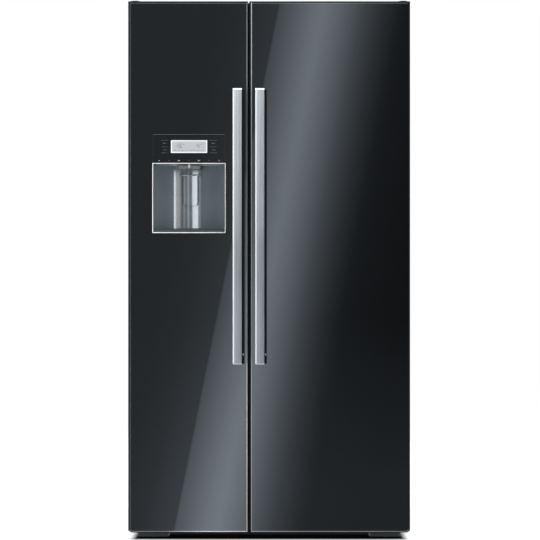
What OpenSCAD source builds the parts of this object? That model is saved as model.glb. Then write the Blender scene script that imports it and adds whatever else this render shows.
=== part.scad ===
// Side by side refrigerator: freezer on the left, larder on the right, glass-fronted doors,
// an ice and water dispenser in the freezer door, and a machine bay low at the back.
// Frame: +Z up, front towards -Y, origin on the floor under the middle of the overall box.

/* [Overall] */
// Width over the two doors
overall_w = 910; // [850:1:1100]
// Height from the floor to the top of the hinge covers
overall_h = 1756; // [1460:1:2110]
// Depth of the case behind the doors
case_d = 622; // [515:1:750]
// Middle of the gap between the doors, measured from the middle of the case
split_x = -66; // [-80:1:-50]

/* [Case] */
// Sheet steel thickness
skin_t = 1; // [0.6:0.1:2]
// Front flange thickness
flange_t = 1.2; // [0.8:0.1:2]
// Plastic inner liner thickness
liner_t = 3; // [2:0.5:4]
// Case side, set in from the door's outer edge
case_inset = 1; // [0:0.5:4]
// Case top, below the top of the hinge covers
case_drop = 18; // [16:1:30]
// Underside of the insulated case, above the floor
case_z0 = 58; // [54:1:80]
// Insulated wall beside the freezer
wall_freezer = 60; // [50:1:75]
// Insulated wall beside the larder
wall_fridge = 45; // [38:1:55]
// Insulated ceiling
wall_top = 55; // [45:1:70]
// Insulated floor
wall_floor = 57; // [45:1:70]
// Insulated back
wall_back = 60; // [45:1:75]
// Middle wall, on the freezer side of the door gap
mullion_freezer = 32; // [28:1:40]
// Middle wall, on the larder side of the door gap
mullion_fridge = 24; // [22:1:32]
// Machine bay depth
machine_d = 215; // [190:1:240]
// Machine bay height above the case underside
machine_h = 185; // [175:1:210]
// Insulation around the machine bay
step_wall = 45; // [35:1:55]
// Reach of the rear spacers and the water inlet behind the case
rear_out = 13; // [10:1:20]

/* [Doors] */
// Door thickness from the glass to the inner pan
door_t = 71; // [60:1:85]
// Air gap that the seal fills between door and case
seal_gap = 9; // [8:0.5:14]
// Width of the door seal
seal_w = 14; // [10:1:16]
// Gap between the two doors
door_gap = 4; // [3.5:0.5:8]
// Door underside above the floor
door_z0 = 33; // [33:1:45]
// Door top below the top of the hinge covers
door_drop = 8; // [7.5:0.5:12]
// Glass front thickness
glass_t = 4; // [3:0.5:6]
// Glass set in from the door's edge
edge_t = 2; // [1.5:0.5:4]
// Glass standing proud of the door's edge
glass_proud = 1; // [0.5:0.25:2]
// Height of the moulded caps at the door's top and bottom
cap_h = 20; // [18:1:30]
// Cut at the bottom outer corner of each door, width
chamfer_w = 10; // [4:1:16]
// Cut at the bottom outer corner of each door, height
chamfer_h = 7; // [3:1:12]
// Raised rim on the inside of the door, width
rim_w = 30; // [24:1:40]
// Raised rim, reach into the case
rim_in = 40; // [20:1:50]
// Door bins, reach into the case
bin_in = 100; // [70:1:110]
// Wall of a door bin
bin_wall = 3; // [2:0.5:4]
// Height of a door bin
bin_h = 92; // [60:1:120]

/* [Hinges] */
// Hinge axis in from the door's outer edge
hinge_in = 20; // [18:1:24]
// Hinge axis behind the glass
hinge_back = 34; // [30:1:38]
// Hinge pin radius
pin_r = 5; // [4:0.5:6]
// Radial clearance of each turning pin
pin_clear = 0.05; // [0.02:0.01:0.1]
// Thickness of the hinge arms
arm_t = 3; // [2.5:0.5:4]

/* [Handles] */
// Handle bar width
handle_w = 29; // [20:1:40]
// Handle bar thickness
handle_t = 14; // [10:1:20]
// Handle front, ahead of the glass
handle_out = 46; // [40:1:60]
// Handle bar length
handle_l = 884; // [500:4:1000]
// Top of the handle bar below the door's top
handle_drop = 286; // [150:1:350]
// Middle of the handle from the door's free edge
handle_in = 34; // [30:1:60]
// Handle bracket, reach to the right of the bar
strip_out = 8; // [4:1:12]
// Handle bracket thickness behind the bar
strip_t = 10; // [6:1:14]
// Length of each foot of the bracket along the bar
foot_l = 35; // [20:1:60]

/* [Dispenser] */
// Dispenser frame width
disp_w = 239; // [200:1:250]
// Dispenser frame height
disp_h = 228; // [180:1:260]
// Top of the dispenser frame below the door's top
disp_drop = 521; // [450:1:560]
// Dispenser middle, off the middle of the door towards the free edge
disp_off = 3; // [-5:1:8]
// Width of the dispenser frame's bars
disp_bar = 5; // [3:0.5:8]
// Depth of the frame's collar behind the glass
collar_d = 8; // [6:1:10]
// Depth of the half-round hollow behind the collar
hollow_d = 80; // [60:1:84]
// Height of the control panel above the dispenser frame
panel_h = 92.5; // [80:0.5:110]
// Control panel thickness
panel_t = 12; // [10:1:14]
// Display window width
display_w = 117; // [80:1:125]
// Display window height
display_h = 41; // [30:1:42]
// Middle of the display above the dispenser frame
display_up = 52; // [45:0.5:56]
// Push key width
key_w = 24; // [14:1:26]
// Push key height
key_h = 20; // [12:0.5:20.5]
// Push key travel
key_travel = 0.8; // [0.4:0.1:1]
// Insulated bulge behind the dispenser, reach into the case
bulge_in = 95; // [90:1:97]
// Ice chute radius
chute_r = 20; // [16:1:20]
// Drip tray height at its back edge
tray_h = 14; // [10:1:20]

/* [Fittings] */
// Number of larder shelves above the one that covers the drawers
fridge_shelves = 4; // [2:1:5]
// Number of freezer shelves between the drawers and the ice bin
freezer_shelves = 2; // [1:1:3]
// Number of open bins in the larder door
fridge_bins = 4; // [2:1:5]
// Number of bins under the dispenser in the freezer door
freezer_bins = 3; // [2:1:4]
// Shelf glass thickness
pane_t = 4; // [3:0.5:6]
// Lower drawer height
drawer_low_h = 166; // [140:1:168]
// Upper drawer height
drawer_high_h = 180; // [140:1:220]
// Wall of a drawer
drawer_wall = 3; // [2:0.5:4]
// Larder air duct depth
duct_fridge = 28; // [20:1:40]
// Freezer air duct depth, with the evaporator inside
duct_freezer = 75; // [70:1:90]
// Ice bin height
ice_bin_h = 150; // [120:1:160]

/* [Hidden] */
$fn = 48;

// Clearances
part_gap = 0.4;    // pieces that slide or swing past each other
swing_clear = 5;   // inner parts of a swinging door to the case
fit_gap = 16;      // door bins to the shelves behind them
rim_side = 9;      // door rim to the case wall on the hinge side
rim_end = 10;      // door rim to the case at top and bottom
drawer_side = 50;  // hinge axis to the nearer side of a drawer, past the swung door's corner
drawer_far = 10;   // drawer to the middle wall
drawer_end = 6;    // drawer to what is above, below and behind it
over = 1;          // how far a cut runs past a face

// Depth planes, front to back
total_d = handle_out + door_t + seal_gap + case_d + rear_out;
y_front = -total_d / 2;
y_glass = y_front + handle_out;
y_core = y_glass + glass_t;
y_door = y_glass + door_t;
y_pan = y_door - liner_t;
y_case = y_door + seal_gap;
y_flange = y_case + flange_t;
y_back = y_case + case_d;
y_hinge = y_glass + hinge_back;
y_rim = y_case + rim_in;
y_bins = y_case + bin_in;
y_bulge = y_case + bulge_in;
y_fit = y_bins + fit_gap;
y_in = y_back - wall_back;
y_machine = y_back - machine_d;
y_step = y_machine - step_wall;
y_duct_fridge = y_in - duct_fridge;
y_duct_freezer = y_in - duct_freezer;

// Heights
door_z1 = overall_h - door_drop;
case_z1 = overall_h - case_drop;
in_z0 = case_z0 + wall_floor;
in_z1 = case_z1 - wall_top;
z_machine = case_z0 + machine_h;
z_step = z_machine + step_wall;
rim_z = [in_z0 + rim_end, in_z1 - rim_end];
arm_z = door_z1 + 1;
handle_z = [door_z1 - handle_drop - handle_l, door_z1 - handle_drop];

// Widths
half_w = overall_w / 2;
case_hw = half_w - case_inset;
hinge_x = half_w - hinge_in;
freezer_x = [-case_hw + wall_freezer, split_x - mullion_freezer];
fridge_x = [split_x + mullion_fridge, case_hw - wall_fridge];
freezer_door_x = [-half_w, split_x - door_gap / 2];
fridge_door_x = [split_x + door_gap / 2, half_w];

// How far from the hinge axis a part may stand at depth y and still swing out past a wall
function swing_out(wall, y) =
    sqrt(pow(wall - swing_clear, 2) - pow(y - y_hinge, 2) + pow(y_case - y_hinge, 2));
freezer_rim_x = [freezer_x[0] + rim_side, -hinge_x + swing_out(hinge_x + freezer_x[1], y_rim)];
fridge_rim_x = [hinge_x - swing_out(hinge_x - fridge_x[0], y_rim), fridge_x[1] - rim_side];
bulge_x = [freezer_rim_x[0], -hinge_x + swing_out(hinge_x + freezer_x[1], y_bulge)];

// Dispenser
disp_x = (freezer_door_x[0] + freezer_door_x[1]) / 2 + disp_off;
disp_z = [door_z1 - disp_drop - disp_h, door_z1 - disp_drop];
hollow_z = [disp_z[0] + disp_bar, disp_z[1] - disp_bar];
hollow_hw = disp_w / 2 - disp_bar;
hollow_r = (pow(hollow_hw, 2) + pow(hollow_d, 2)) / (2 * hollow_d);
hollow_t = 1.5;
y_hollow = y_glass + collar_d;
y_arc = y_hollow + hollow_d - hollow_r;
lap = 2;               // frame flange over the glass
chute_drop = 90;       // chute mouth above the dispenser frame
bulge_z = [disp_z[0] - 20, disp_z[1] + chute_drop];
mouth_y = y_bulge - liner_t - chute_r * sqrt(2) - 3;
chute_y = mouth_y - (bulge_z[1] - hollow_z[1]);
chute_t = 2;
spout_h = 14;
spout_x = 34;
spout_y = [chute_y - chute_r * sqrt(2) - 2, chute_y + chute_r * sqrt(2) + 6];
flap_pin_r = 1.5;
flap_y = spout_y[1] - chute_t - 4;
flap_z = hollow_z[1] - 4;
pad_gap = 8;           // pad to the wall behind it
pad_t = 3;
pad_l = 100;
pad_pin_r = 2.5;
pad_z = hollow_z[1] - 30;
pad_y = y_arc + hollow_r - pad_gap - pad_t / 2;
pad_lug_x = 31;
key_pitch = key_h + 1.4;
key_x = display_w / 2 + 8 + key_w / 2;
key_clear = 0.3;
display_z = disp_z[1] + display_up;

// Inside fittings
drawer_z0 = in_z0 + drawer_end;
drawer_z1 = drawer_z0 + drawer_low_h + drawer_end;
shelf_z0 = drawer_z1 + drawer_high_h + 12;
ice_z0 = bulge_z[1] + 12;
ice_x = disp_x;
ice_y = [y_fit, y_duct_freezer - 12];
nose_x = 34;
nose_z = 71;
nose_y = mouth_y - chute_r * sqrt(2) - 6;
auger_r = 28;
auger_z = ice_z0 + drawer_wall + auger_r + 4;
auger_pin_r = 5;
maker_z = in_z1 - 93;
maker_r = 36;
maker_y = [y_fit + 80, y_fit + 320];
ejector_r = 30;
ejector_pin_r = 4;
fridge_shelf_top = in_z1 - 190;
freezer_shelf_top = ice_z0 - 27;
shelf_rim = 8;
dairy_pin_r = 3;
dairy_pin_y = y_door + 10;
dairy_h = 100;
dairy_z1 = rim_z[1] - rim_w - (y_bins - dairy_pin_y) - 8;

// Feet, rollers and the machine bay
foot_x = case_hw - 72;
foot_y = y_case + 40;
foot_r = 19;
stem_r = 5;
rail_x = [case_hw - 66, case_hw - 38];
roller_r = 18;
roller_w = 22;
roller_x = case_hw - 94;
roller_y = y_back - 45;
axle_r = 4;
cover_x = [half_w - 124, half_w - 22];
bay_y = (y_machine + y_back) / 2;
bay_z = case_z0 + machine_h / 2;
condenser_x = [-case_hw + 130, -case_hw + 330];
fan_shaft_r = 3;
condenser_fan_x = condenser_x[1] + 50;
evaporator_fan_z = z_step + 330;
valve_x = -case_hw + 70;
valve_z = case_z0 + 62;
thread_r = 13.2;

// A box between three pairs of limits
module block(x, y, z) {
    translate([x[0], y[0], z[0]]) cube([x[1] - x[0], y[1] - y[0], z[1] - z[0]]);
}

// Round bars along each axis
module rod_x(x, y, z, r) {
    translate([x[0], y, z]) rotate([0, 90, 0]) cylinder(r = r, h = x[1] - x[0]);
}
module rod_y(x, y, z, r) {
    translate([x, y[0], z]) rotate([-90, 0, 0]) cylinder(r = r, h = y[1] - y[0]);
}
module rod_z(x, y, z, r) {
    translate([x, y, z[0]]) cylinder(r = r, h = z[1] - z[0]);
}

// Inside space of a compartment, grown by g: a box with a step over the machine bay
module compartment(x, g, front) {
    translate([x[0] - g, 0, 0]) rotate([90, 0, 90]) linear_extrude(x[1] - x[0] + 2 * g) polygon([
        [front, in_z0 - g], [y_step + g, in_z0 - g], [y_step + g, z_step - g],
        [y_in + g, z_step - g], [y_in + g, in_z1 + g], [front, in_z1 + g]
    ]);
}

module case_wrap() {
    color("dimgray") difference() {
        block([-case_hw, case_hw], [y_case, y_back], [case_z0, case_z1]);
        block([-case_hw + skin_t, case_hw - skin_t], [y_flange, y_back + over],
              [case_z0 - over, case_z1 - skin_t]);
        for (x = [freezer_x, fridge_x]) {
            block([x[0] - liner_t, x[1] + liner_t], [y_case - over, y_flange + over],
                  [in_z0 - liner_t, in_z1 + liner_t]);
        }
    }
}

module bay_cover() {
    slot_w = 60;
    slot_h = 6;
    difference() {
        block([-case_hw + skin_t, case_hw - skin_t], [y_back - skin_t, y_back],
              [case_z0, z_machine - part_gap]);
        for (column = [-2:1:3], row = [0:1:5]) {
            translate([column * 100 - slot_w / 2, y_back - skin_t - over, case_z0 + 50 + row * 18])
                cube([slot_w, skin_t + 2 * over, slot_h]);
        }
        rod_y(valve_x, [y_back - skin_t - over, y_back + over], valve_z, thread_r + 1);
    }
}

module rear_panels() {
    inner = case_hw - skin_t;
    color("silver") {
        block([-inner, inner], [y_back - skin_t, y_back], [z_machine, case_z1 - skin_t]);
        for (side = [-1, 1]) {
            rod_y(side * 350, [y_back, y_back + rear_out], case_z1 - 240, 12);
        }
        bay_cover();
        difference() {
            block([-inner, inner], [y_machine - skin_t, y_back - skin_t],
                  [case_z0, z_machine + skin_t]);
            block([-inner - over, inner + over], [y_machine, y_back], [case_z0 - over, z_machine]);
        }
    }
}

module case_foam() {
    inner = case_hw - skin_t;
    color("khaki") difference() {
        block([-inner, inner], [y_flange, y_back - skin_t], [case_z0, case_z1 - skin_t]);
        compartment(freezer_x, liner_t, y_case - over);
        compartment(fridge_x, liner_t, y_case - over);
        block([-inner - over, inner + over], [y_machine - skin_t, y_back + over],
              [case_z0 - over, z_machine + skin_t]);
    }
}

// Moulded tub with a pair of ledges under each shelf and drawer
module liner(x, ledges, back) {
    difference() {
        compartment(x, liner_t, y_case);
        compartment(x, 0, y_case - over);
    }
    for (z = ledges, wall = [x[0], x[1] - shelf_rim]) {
        block([wall, wall + shelf_rim], [y_fit + 10, back], [z - 8, z]);
    }
}

function fridge_shelf_z() = [for (i = [0:1:fridge_shelves])
    shelf_z0 + i * (fridge_shelf_top - shelf_z0) / fridge_shelves];
function freezer_shelf_z() = [for (i = [0:1:freezer_shelves + 1])
    shelf_z0 + i * (freezer_shelf_top - shelf_z0) / (freezer_shelves + 1)];

module freezer_liner() {
    color("whitesmoke") liner(freezer_x, freezer_shelf_z(), y_duct_freezer - 20);
}

module fridge_liner() {
    color("whitesmoke") liner(fridge_x, fridge_shelf_z(), y_duct_fridge - 20);
}

module base_frame() {
    pan_t = 2;
    web = 2;
    ear_t = 3;
    foot_block = 14;
    z_top = case_z0 - pan_t;
    color("gray") difference() {
        union() {
            block([-case_hw, case_hw], [y_case + 2, y_back - skin_t], [z_top, case_z0]);
            for (side = [-1, 1]) {
                // Channel rails, open underneath
                difference() {
                    block(side > 0 ? rail_x : [-rail_x[1], -rail_x[0]], [y_case + 70, y_back - 10],
                          [34, z_top]);
                    block(side > 0 ? [rail_x[0] + web, rail_x[1] - web]
                                   : [-rail_x[1] + web, -rail_x[0] - web],
                          [y_case + 70 + web, y_back - 10 - web], [34 - over, z_top]);
                }
                // Nut for the levelling foot
                block([side * foot_x - foot_block, side * foot_x + foot_block],
                      [foot_y - foot_block, foot_y + foot_block], [36, z_top]);
                // Ears that carry the roller
                for (ear = [-1, 1]) {
                    translate([side * roller_x + ear * (roller_w / 2 + 1 + ear_t / 2) - ear_t / 2,
                               roller_y - 12, 8]) cube([ear_t, 24, z_top - 8]);
                }
            }
            block([-rail_x[0], rail_x[0]], [y_machine - 4, y_machine], [34, z_top]);
        }
        for (side = [-1, 1]) {
            rod_z(side * foot_x, foot_y, [34, z_top], stem_r + pin_clear);
            rod_x([side * roller_x - roller_w, side * roller_x + roller_w], roller_y, roller_r,
                  axle_r + pin_clear);
        }
    }
}

module plinth() {
    wall = 3;
    cover_z = [3, 27];
    cover_y = [y_case + 5, y_case + 68];
    grille_y = [y_case + 24, y_case + 28];
    vent_pitch = 24;
    vent_w = 18;
    vents = floor((cover_x[0] - vent_w) / vent_pitch);
    color("darkslategray") for (side = [-1, 1]) {
        x = side > 0 ? cover_x : [-cover_x[1], -cover_x[0]];
        difference() {
            block(x, cover_y, cover_z);
            block([x[0] + wall, x[1] - wall], [cover_y[0] + wall, cover_y[1] + over],
                  [cover_z[0] - over, cover_z[1] + over]);
        }
    }
    color("black") difference() {
        block([-cover_x[0] + 1, cover_x[0] - 1], grille_y, [8, case_z0 - 2]);
        for (i = [-vents:1:vents]) {
            translate([i * vent_pitch - vent_w / 2, grille_y[0] - over, 16])
                cube([vent_w, 4 + 2 * over, 28]);
        }
    }
}

// Top arm: plate on the case, riser, arm and the pin that goes down into the door
module top_bracket(side) {
    x = side * hinge_x;
    block([x - 17, x + 17], [y_case + 6, y_case + 92], [case_z1, case_z1 + arm_t]);
    block([x - 12, x + 12], [y_case + 6, y_case + 6 + arm_t], [case_z1, arm_z + arm_t]);
    block([x - 12, x + 12], [y_hinge, y_case + 6 + arm_t], [arm_z, arm_z + arm_t]);
    rod_z(x, y_hinge, [arm_z, arm_z + arm_t], 12);
    rod_z(x, y_hinge, [door_z1 - 14, arm_z + arm_t], pin_r);
}

// Bottom arm: hangs from the base pan and carries the door on its pin
module bottom_bracket(side) {
    x = side * hinge_x;
    z_arm = [door_z0 - 1 - arm_t, door_z0 - 1];
    block([x - 12, x + 12], [y_case + 12, y_case + 12 + arm_t], [z_arm[0], case_z0 - 2]);
    block([x - 12, x + 12], [y_hinge, y_case + 12 + arm_t], z_arm);
    rod_z(x, y_hinge, z_arm, 12);
    rod_z(x, y_hinge, [z_arm[0], door_z0 + 14], pin_r);
}

module hinge_brackets() {
    color("silver") for (side = [-1, 1]) {
        top_bracket(side);
        bottom_bracket(side);
    }
}

module hinge_covers() {
    play = 0.5;
    inner_hw = 22;
    mid_hw = 20;
    outer_hw = min(inner_hw, hinge_in - case_inset);
    color("black") for (side = [-1, 1]) {
        x = side * hinge_x;
        difference() {
            union() {
                block(side > 0 ? [x - inner_hw, x + outer_hw] : [x - outer_hw, x + inner_hw],
                      [y_case + 3, y_case + 98], [case_z1, overall_h]);
                block([x - 17, x + 17], [y_hinge - 14, y_case + 4],
                      [arm_z + arm_t + play, overall_h]);
            }
            block([x - 17 - play, x + 17 + play], [y_case + 6 - play, y_case + 92 + play],
                  [case_z1 - over, arm_z + arm_t + play]);
            block([x - 17, x + 17], [y_hinge - over, y_case + 7],
                  [case_z1 - over, arm_z + arm_t + play]);
        }
    }
    // Middle cover: closes the top of the gap between the doors, clear of both
    color("black") block([split_x - mid_hw, split_x + mid_hw], [y_door + 2, y_case + 30],
                         [case_z1, overall_h]);
}

module compressor() {
    can_r = 68;
    x = 200;
    z0 = case_z0 + 14;
    color("black") translate([x, bay_y, 0]) {
        translate([0, 0, z0]) rotate_extrude() polygon([
            [0, 0], [can_r - 16, 0], [can_r - 4, 8], [can_r, 24], [can_r, 84], [can_r + 3, 84],
            [can_r + 3, 90], [can_r, 90], [can_r - 3, 112], [can_r - 18, 130], [0, 136]
        ]);
        translate([-95, -60, z0 - 4]) cube([190, 120, 4.5]);
        for (sx = [-84, 84], sy = [-48, 48]) {
            translate([sx, sy, case_z0]) cylinder(r = 8, h = 10.5);
        }
        translate([can_r - 4, -22, z0 + 30]) cube([26, 44, 46]);
        translate([-can_r - 14, 0, z0 + 60]) rotate([0, 90, 0]) cylinder(r = 4, h = 20);
    }
}

// Finned tube bank: tubes along X through thin plates
module coil(x, y, z, columns, rows, fins) {
    tube_r = 4;
    step_y = (y[1] - y[0] - 24) / max(1, columns - 1);
    step_z = (z[1] - z[0] - 24) / max(1, rows - 1);
    for (i = [0:1:columns - 1], j = [0:1:rows - 1]) {
        rod_x(x, y[0] + 12 + i * step_y, z[0] + 12 + j * step_z, tube_r);
    }
    for (k = [0:1:fins - 1]) {
        u = x[0] + 6 + k * (x[1] - x[0] - 12) / (fins - 1);
        block([u - 0.6, u + 0.6], y, z);
    }
}

// Fan carrier: plate with a round opening, a cross bar and the motor with its shaft
module fan_mount(hole_r, plate_w, plate_h, depth) {
    plate_t = 3;
    difference() {
        translate([-plate_w / 2, -plate_h / 2, 0]) cube([plate_w, plate_h, plate_t]);
        translate([0, 0, -over]) cylinder(r = hole_r, h = plate_t + 2 * over);
    }
    for (side = [-1, 1]) {
        translate([side * (hole_r + 6) - 4, -6, 0]) cube([8, 12, depth]);
    }
    translate([-hole_r - 10, -6, depth - 3]) cube([2 * hole_r + 20, 12, 3]);
    translate([0, 0, depth - 14]) cylinder(r = 16, h = 14);
    translate([0, 0, depth - 30]) cylinder(r = fan_shaft_r, h = 20);
}

// Bladed wheel on a hub with a bore for the shaft, turning about Z
module fan_wheel(tip_r, depth) {
    hub_r = 13;
    translate([0, 0, depth - 30]) difference() {
        union() {
            cylinder(r = hub_r, h = 14);
            for (i = [0:1:4]) {
                rotate([0, 0, i * 72]) translate([hub_r - 3, 0, 7]) rotate([32, 0, 0])
                    translate([0, -13, -0.8]) cube([tip_r - hub_r + 2, 26, 1.6]);
            }
        }
        translate([0, 0, -20]) cylinder(r = fan_shaft_r + pin_clear, h = 60);
    }
}

module condenser() {
    color("black") {
        coil(condenser_x, [y_machine + 20, y_back - 30], [case_z0 + 4, z_machine - 22], 4, 4, 14);
        for (x = [condenser_x[0] + 5, condenser_x[1] - 5]) {
            block([x - 2, x + 2], [y_machine + 24, y_back - 34], [case_z0, case_z0 + 8]);
        }
    }
}

module condenser_fan() {
    color("gray") translate([condenser_fan_x, bay_y, bay_z - 8]) rotate([0, 90, 0])
        fan_wheel(55, 45);
}

module water_valve() {
    color("white") difference() {
        union() {
            block([valve_x - 18, valve_x + 18], [y_back - 56, y_back - 24],
                  [case_z0, valve_z + 16]);
            rod_y(valve_x, [y_back - 25, y_back + rear_out], valve_z, thread_r);
        }
        rod_y(valve_x, [y_back - 20, y_back + rear_out + over], valve_z, 7);
    }
}

module air_ducts() {
    wall = 2.5;
    mid = (fridge_x[0] + fridge_x[1]) / 2;
    duct_hw = 95;
    z = [z_step + 20, in_z1 - 6];
    fx = (freezer_x[0] + freezer_x[1]) / 2;
    color("gainsboro") {
        // Larder channel, open at the back, with outlets down its front
        difference() {
            block([mid - duct_hw, mid + duct_hw], [y_duct_fridge, y_in], z);
            block([mid - duct_hw + wall, mid + duct_hw - wall], [y_duct_fridge + wall, y_in + over],
                  [z[0] + wall, z[1] - wall]);
            for (shelf = fridge_shelf_z(), side = [-1, 1]) {
                translate([mid + side * 45 - 25, y_duct_fridge - over, shelf + 60])
                    cube([50, wall + 2 * over, 8]);
            }
        }
        // Freezer panel, which hides the evaporator and carries its fan
        difference() {
            block([freezer_x[0] + part_gap, freezer_x[1] - part_gap],
                  [y_duct_freezer, y_duct_freezer + 3], [z_step + 1, in_z1 - 1]);
            rod_y(fx, [y_duct_freezer - over, y_duct_freezer + 3 + over], evaporator_fan_z, 50);
            for (row = [0:1:4], side = [-1, 1]) {
                translate([fx + side * 70 - 30, y_duct_freezer - over, evaporator_fan_z + 150 + row * 120])
                    cube([60, 3 + 2 * over, 8]);
            }
        }
        translate([fx, y_duct_freezer + 3, evaporator_fan_z]) rotate([-90, 0, 0])
            fan_mount(50, 130, 120, 45);
        // Shroud of the machine bay's fan, standing on the base pan beside the condenser
        translate([condenser_fan_x, bay_y, bay_z - 8]) rotate([0, 90, 0]) fan_mount(60, 150, 150, 45);
        block([condenser_fan_x, condenser_fan_x + 3], [bay_y - 75, bay_y + 75],
              [case_z0, bay_z - 82]);
    }
}

module evaporator() {
    color("silver") coil([freezer_x[0] + 14, freezer_x[1] - 14], [y_duct_freezer + 10, y_in - 8],
                         [z_step + 30, z_step + 230], 3, 6, 20);
}

module evaporator_fan() {
    color("gray") translate([(freezer_x[0] + freezer_x[1]) / 2, y_duct_freezer + 3, evaporator_fan_z])
        rotate([-90, 0, 0]) fan_wheel(46, 45);
}

// Mould with a half-round trough, its end plates, motor box and ceiling hanger
module ice_maker() {
    mould_x = [ice_x - 54, ice_x + 54];
    color("gainsboro") difference() {
        union() {
            block(mould_x, maker_y, [maker_z - 50, maker_z + 6]);
            block(mould_x, [maker_y[0] - 4, maker_y[0]], [maker_z - 50, maker_z + 14]);
            block(mould_x, [maker_y[1], maker_y[1] + 34], [maker_z - 50, maker_z + 45]);
            block([ice_x - 40, ice_x + 40], [maker_y[1] + 6, maker_y[1] + 28],
                  [maker_z + 40, in_z1]);
        }
        rod_y(ice_x, maker_y, maker_z, maker_r);
        block([mould_x[0] + 18, mould_x[1] - 18], maker_y, [maker_z, maker_z + 6 + over]);
        rod_y(ice_x, [maker_y[0] - 4 - over, maker_y[1] + 20], maker_z, ejector_pin_r + pin_clear);
    }
}

module ice_ejector() {
    color("silver") {
        rod_y(ice_x, [maker_y[0] - 4, maker_y[1] + 19], maker_z, ejector_pin_r);
        for (i = [0:1:6]) {
            y = maker_y[0] + 18 + i * (maker_y[1] - maker_y[0] - 36) / 6;
            block([ice_x, ice_x + ejector_r], [y - 3, y + 3], [maker_z - 2, maker_z + 2]);
        }
    }
}

// Bin under the ice maker, with a nose whose open underside stands over the chute's mouth
module ice_bin() {
    x = [freezer_x[0] + 9, freezer_x[1] - 12];
    z = [ice_z0, ice_z0 + ice_bin_h];
    w = drawer_wall;
    color("aliceblue") difference() {
        union() {
            block(x, ice_y, z);
            block([ice_x - nose_x, ice_x + nose_x], [nose_y, ice_y[0] + w], [z[0], z[0] + nose_z]);
        }
        block([x[0] + w, x[1] - w], [ice_y[0] + w, ice_y[1] - w], [z[0] + w, z[1] + over]);
        block([ice_x - nose_x + w, ice_x + nose_x - w], [nose_y + w, ice_y[0] + w + over],
              [z[0] + w, z[0] + nose_z - w]);
        block([ice_x - nose_x + w, ice_x + nose_x - w], [nose_y + w, ice_y[0] - w],
              [z[0] - over, z[0] + w + over]);
        rod_y(ice_x, [ice_y[1] - 2 * w, ice_y[1] + over], auger_z, auger_pin_r + pin_clear);
    }
}

// Shaft with slanting round blades, each turned on from the last, which push the ice forward
module ice_auger() {
    blades = 9;
    blade_t = 2;
    slant = 24;
    y = [ice_y[0] - 20, ice_y[1] + 2];
    pitch = (ice_y[1] - ice_y[0] - 50) / (blades - 1);
    color("silver") {
        rod_y(ice_x, y, auger_z, auger_pin_r);
        for (i = [0:1:blades - 1]) {
            translate([ice_x, y[0] + 24 + i * pitch, auger_z]) rotate([-90, 0, 0])
                rotate([slant, 0, i * 100]) cylinder(r = auger_r - 2, h = blade_t, center = true);
        }
    }
}

module pane(x, z, back) {
    block([x[0] + 1, x[1] - 1], [y_fit + 14, back - 8], [z + part_gap / 2, z + part_gap / 2 + pane_t]);
}

module shelf_panes() {
    color("lightcyan") {
        for (z = fridge_shelf_z()) {
            pane(fridge_x, z, y_duct_fridge);
        }
        for (z = freezer_shelf_z()) {
            pane(freezer_x, z, y_duct_freezer);
        }
    }
}

module shelf_trim(x, z) {
    block([x[0] + 1, x[1] - 1], [y_fit + 2, y_fit + 14], [z + part_gap / 2, z + 2 + pane_t + 5]);
}

module shelf_trims() {
    color("silver") {
        for (z = fridge_shelf_z()) {
            shelf_trim(fridge_x, z);
        }
        for (z = freezer_shelf_z()) {
            shelf_trim(freezer_x, z);
        }
    }
}

module interior_lights() {
    color("white") for (x = [freezer_x, fridge_x]) {
        mid = (x[0] + x[1]) / 2;
        block([mid - 60, mid + 60], [y_fit + 14, y_fit + 60], [in_z1 - 12, in_z1]);
    }
}

// Roller with its axle, turning in the base frame's ears
module roller(side) {
    color("dimgray") {
        rod_x([side * roller_x - roller_w / 2, side * roller_x + roller_w / 2], roller_y, roller_r,
              roller_r);
        rod_x([side * roller_x - roller_w / 2 - 6, side * roller_x + roller_w / 2 + 6], roller_y,
              roller_r, axle_r);
    }
}

module rear_roller_left() {
    roller(-1);
}

module rear_roller_right() {
    roller(1);
}

// Levelling foot: a pad on a stem in the base frame's nut
module front_foot(side) {
    color("dimgray") {
        rod_z(side * foot_x, foot_y, [0, 8], foot_r);
        rod_z(side * foot_x, foot_y, [8, case_z0 - 2 - part_gap], stem_r);
        translate([side * foot_x, foot_y, 8]) cylinder(r = 9, h = 8, $fn = 6);
    }
}

module front_foot_left() {
    front_foot(-1);
}

module front_foot_right() {
    front_foot(1);
}

// Open-topped tray with a pull lip along its front
module drawer(x, y, z) {
    w = drawer_wall;
    difference() {
        block(x, y, z);
        block([x[0] + w, x[1] - w], [y[0] + 2 * w, y[1] - w], [z[0] + w, z[1] + over]);
        block([x[0] + 60, x[1] - 60], [y[0] - over, y[0] + w], [z[1] - 26, z[1] - 10]);
    }
}

fridge_drawer_x = [fridge_x[0] + drawer_far, hinge_x - drawer_side];
freezer_drawer_x = [-hinge_x + drawer_side, freezer_x[1] - drawer_far];
low_z = [drawer_z0, drawer_z0 + drawer_low_h];
high_z = [drawer_z1, drawer_z1 + drawer_high_h];

module fridge_drawer_lower() {
    color("azure") drawer(fridge_drawer_x, [y_fit, y_step - drawer_end], low_z);
}

module fridge_drawer_upper() {
    color("azure") drawer(fridge_drawer_x, [y_fit, y_duct_fridge - drawer_end], high_z);
}

module freezer_drawer_lower() {
    color("azure") drawer(freezer_drawer_x, [y_fit, y_step - drawer_end], low_z);
}

module freezer_drawer_upper() {
    color("azure") drawer(freezer_drawer_x, [y_fit, y_duct_freezer - drawer_end], high_z);
}

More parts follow.
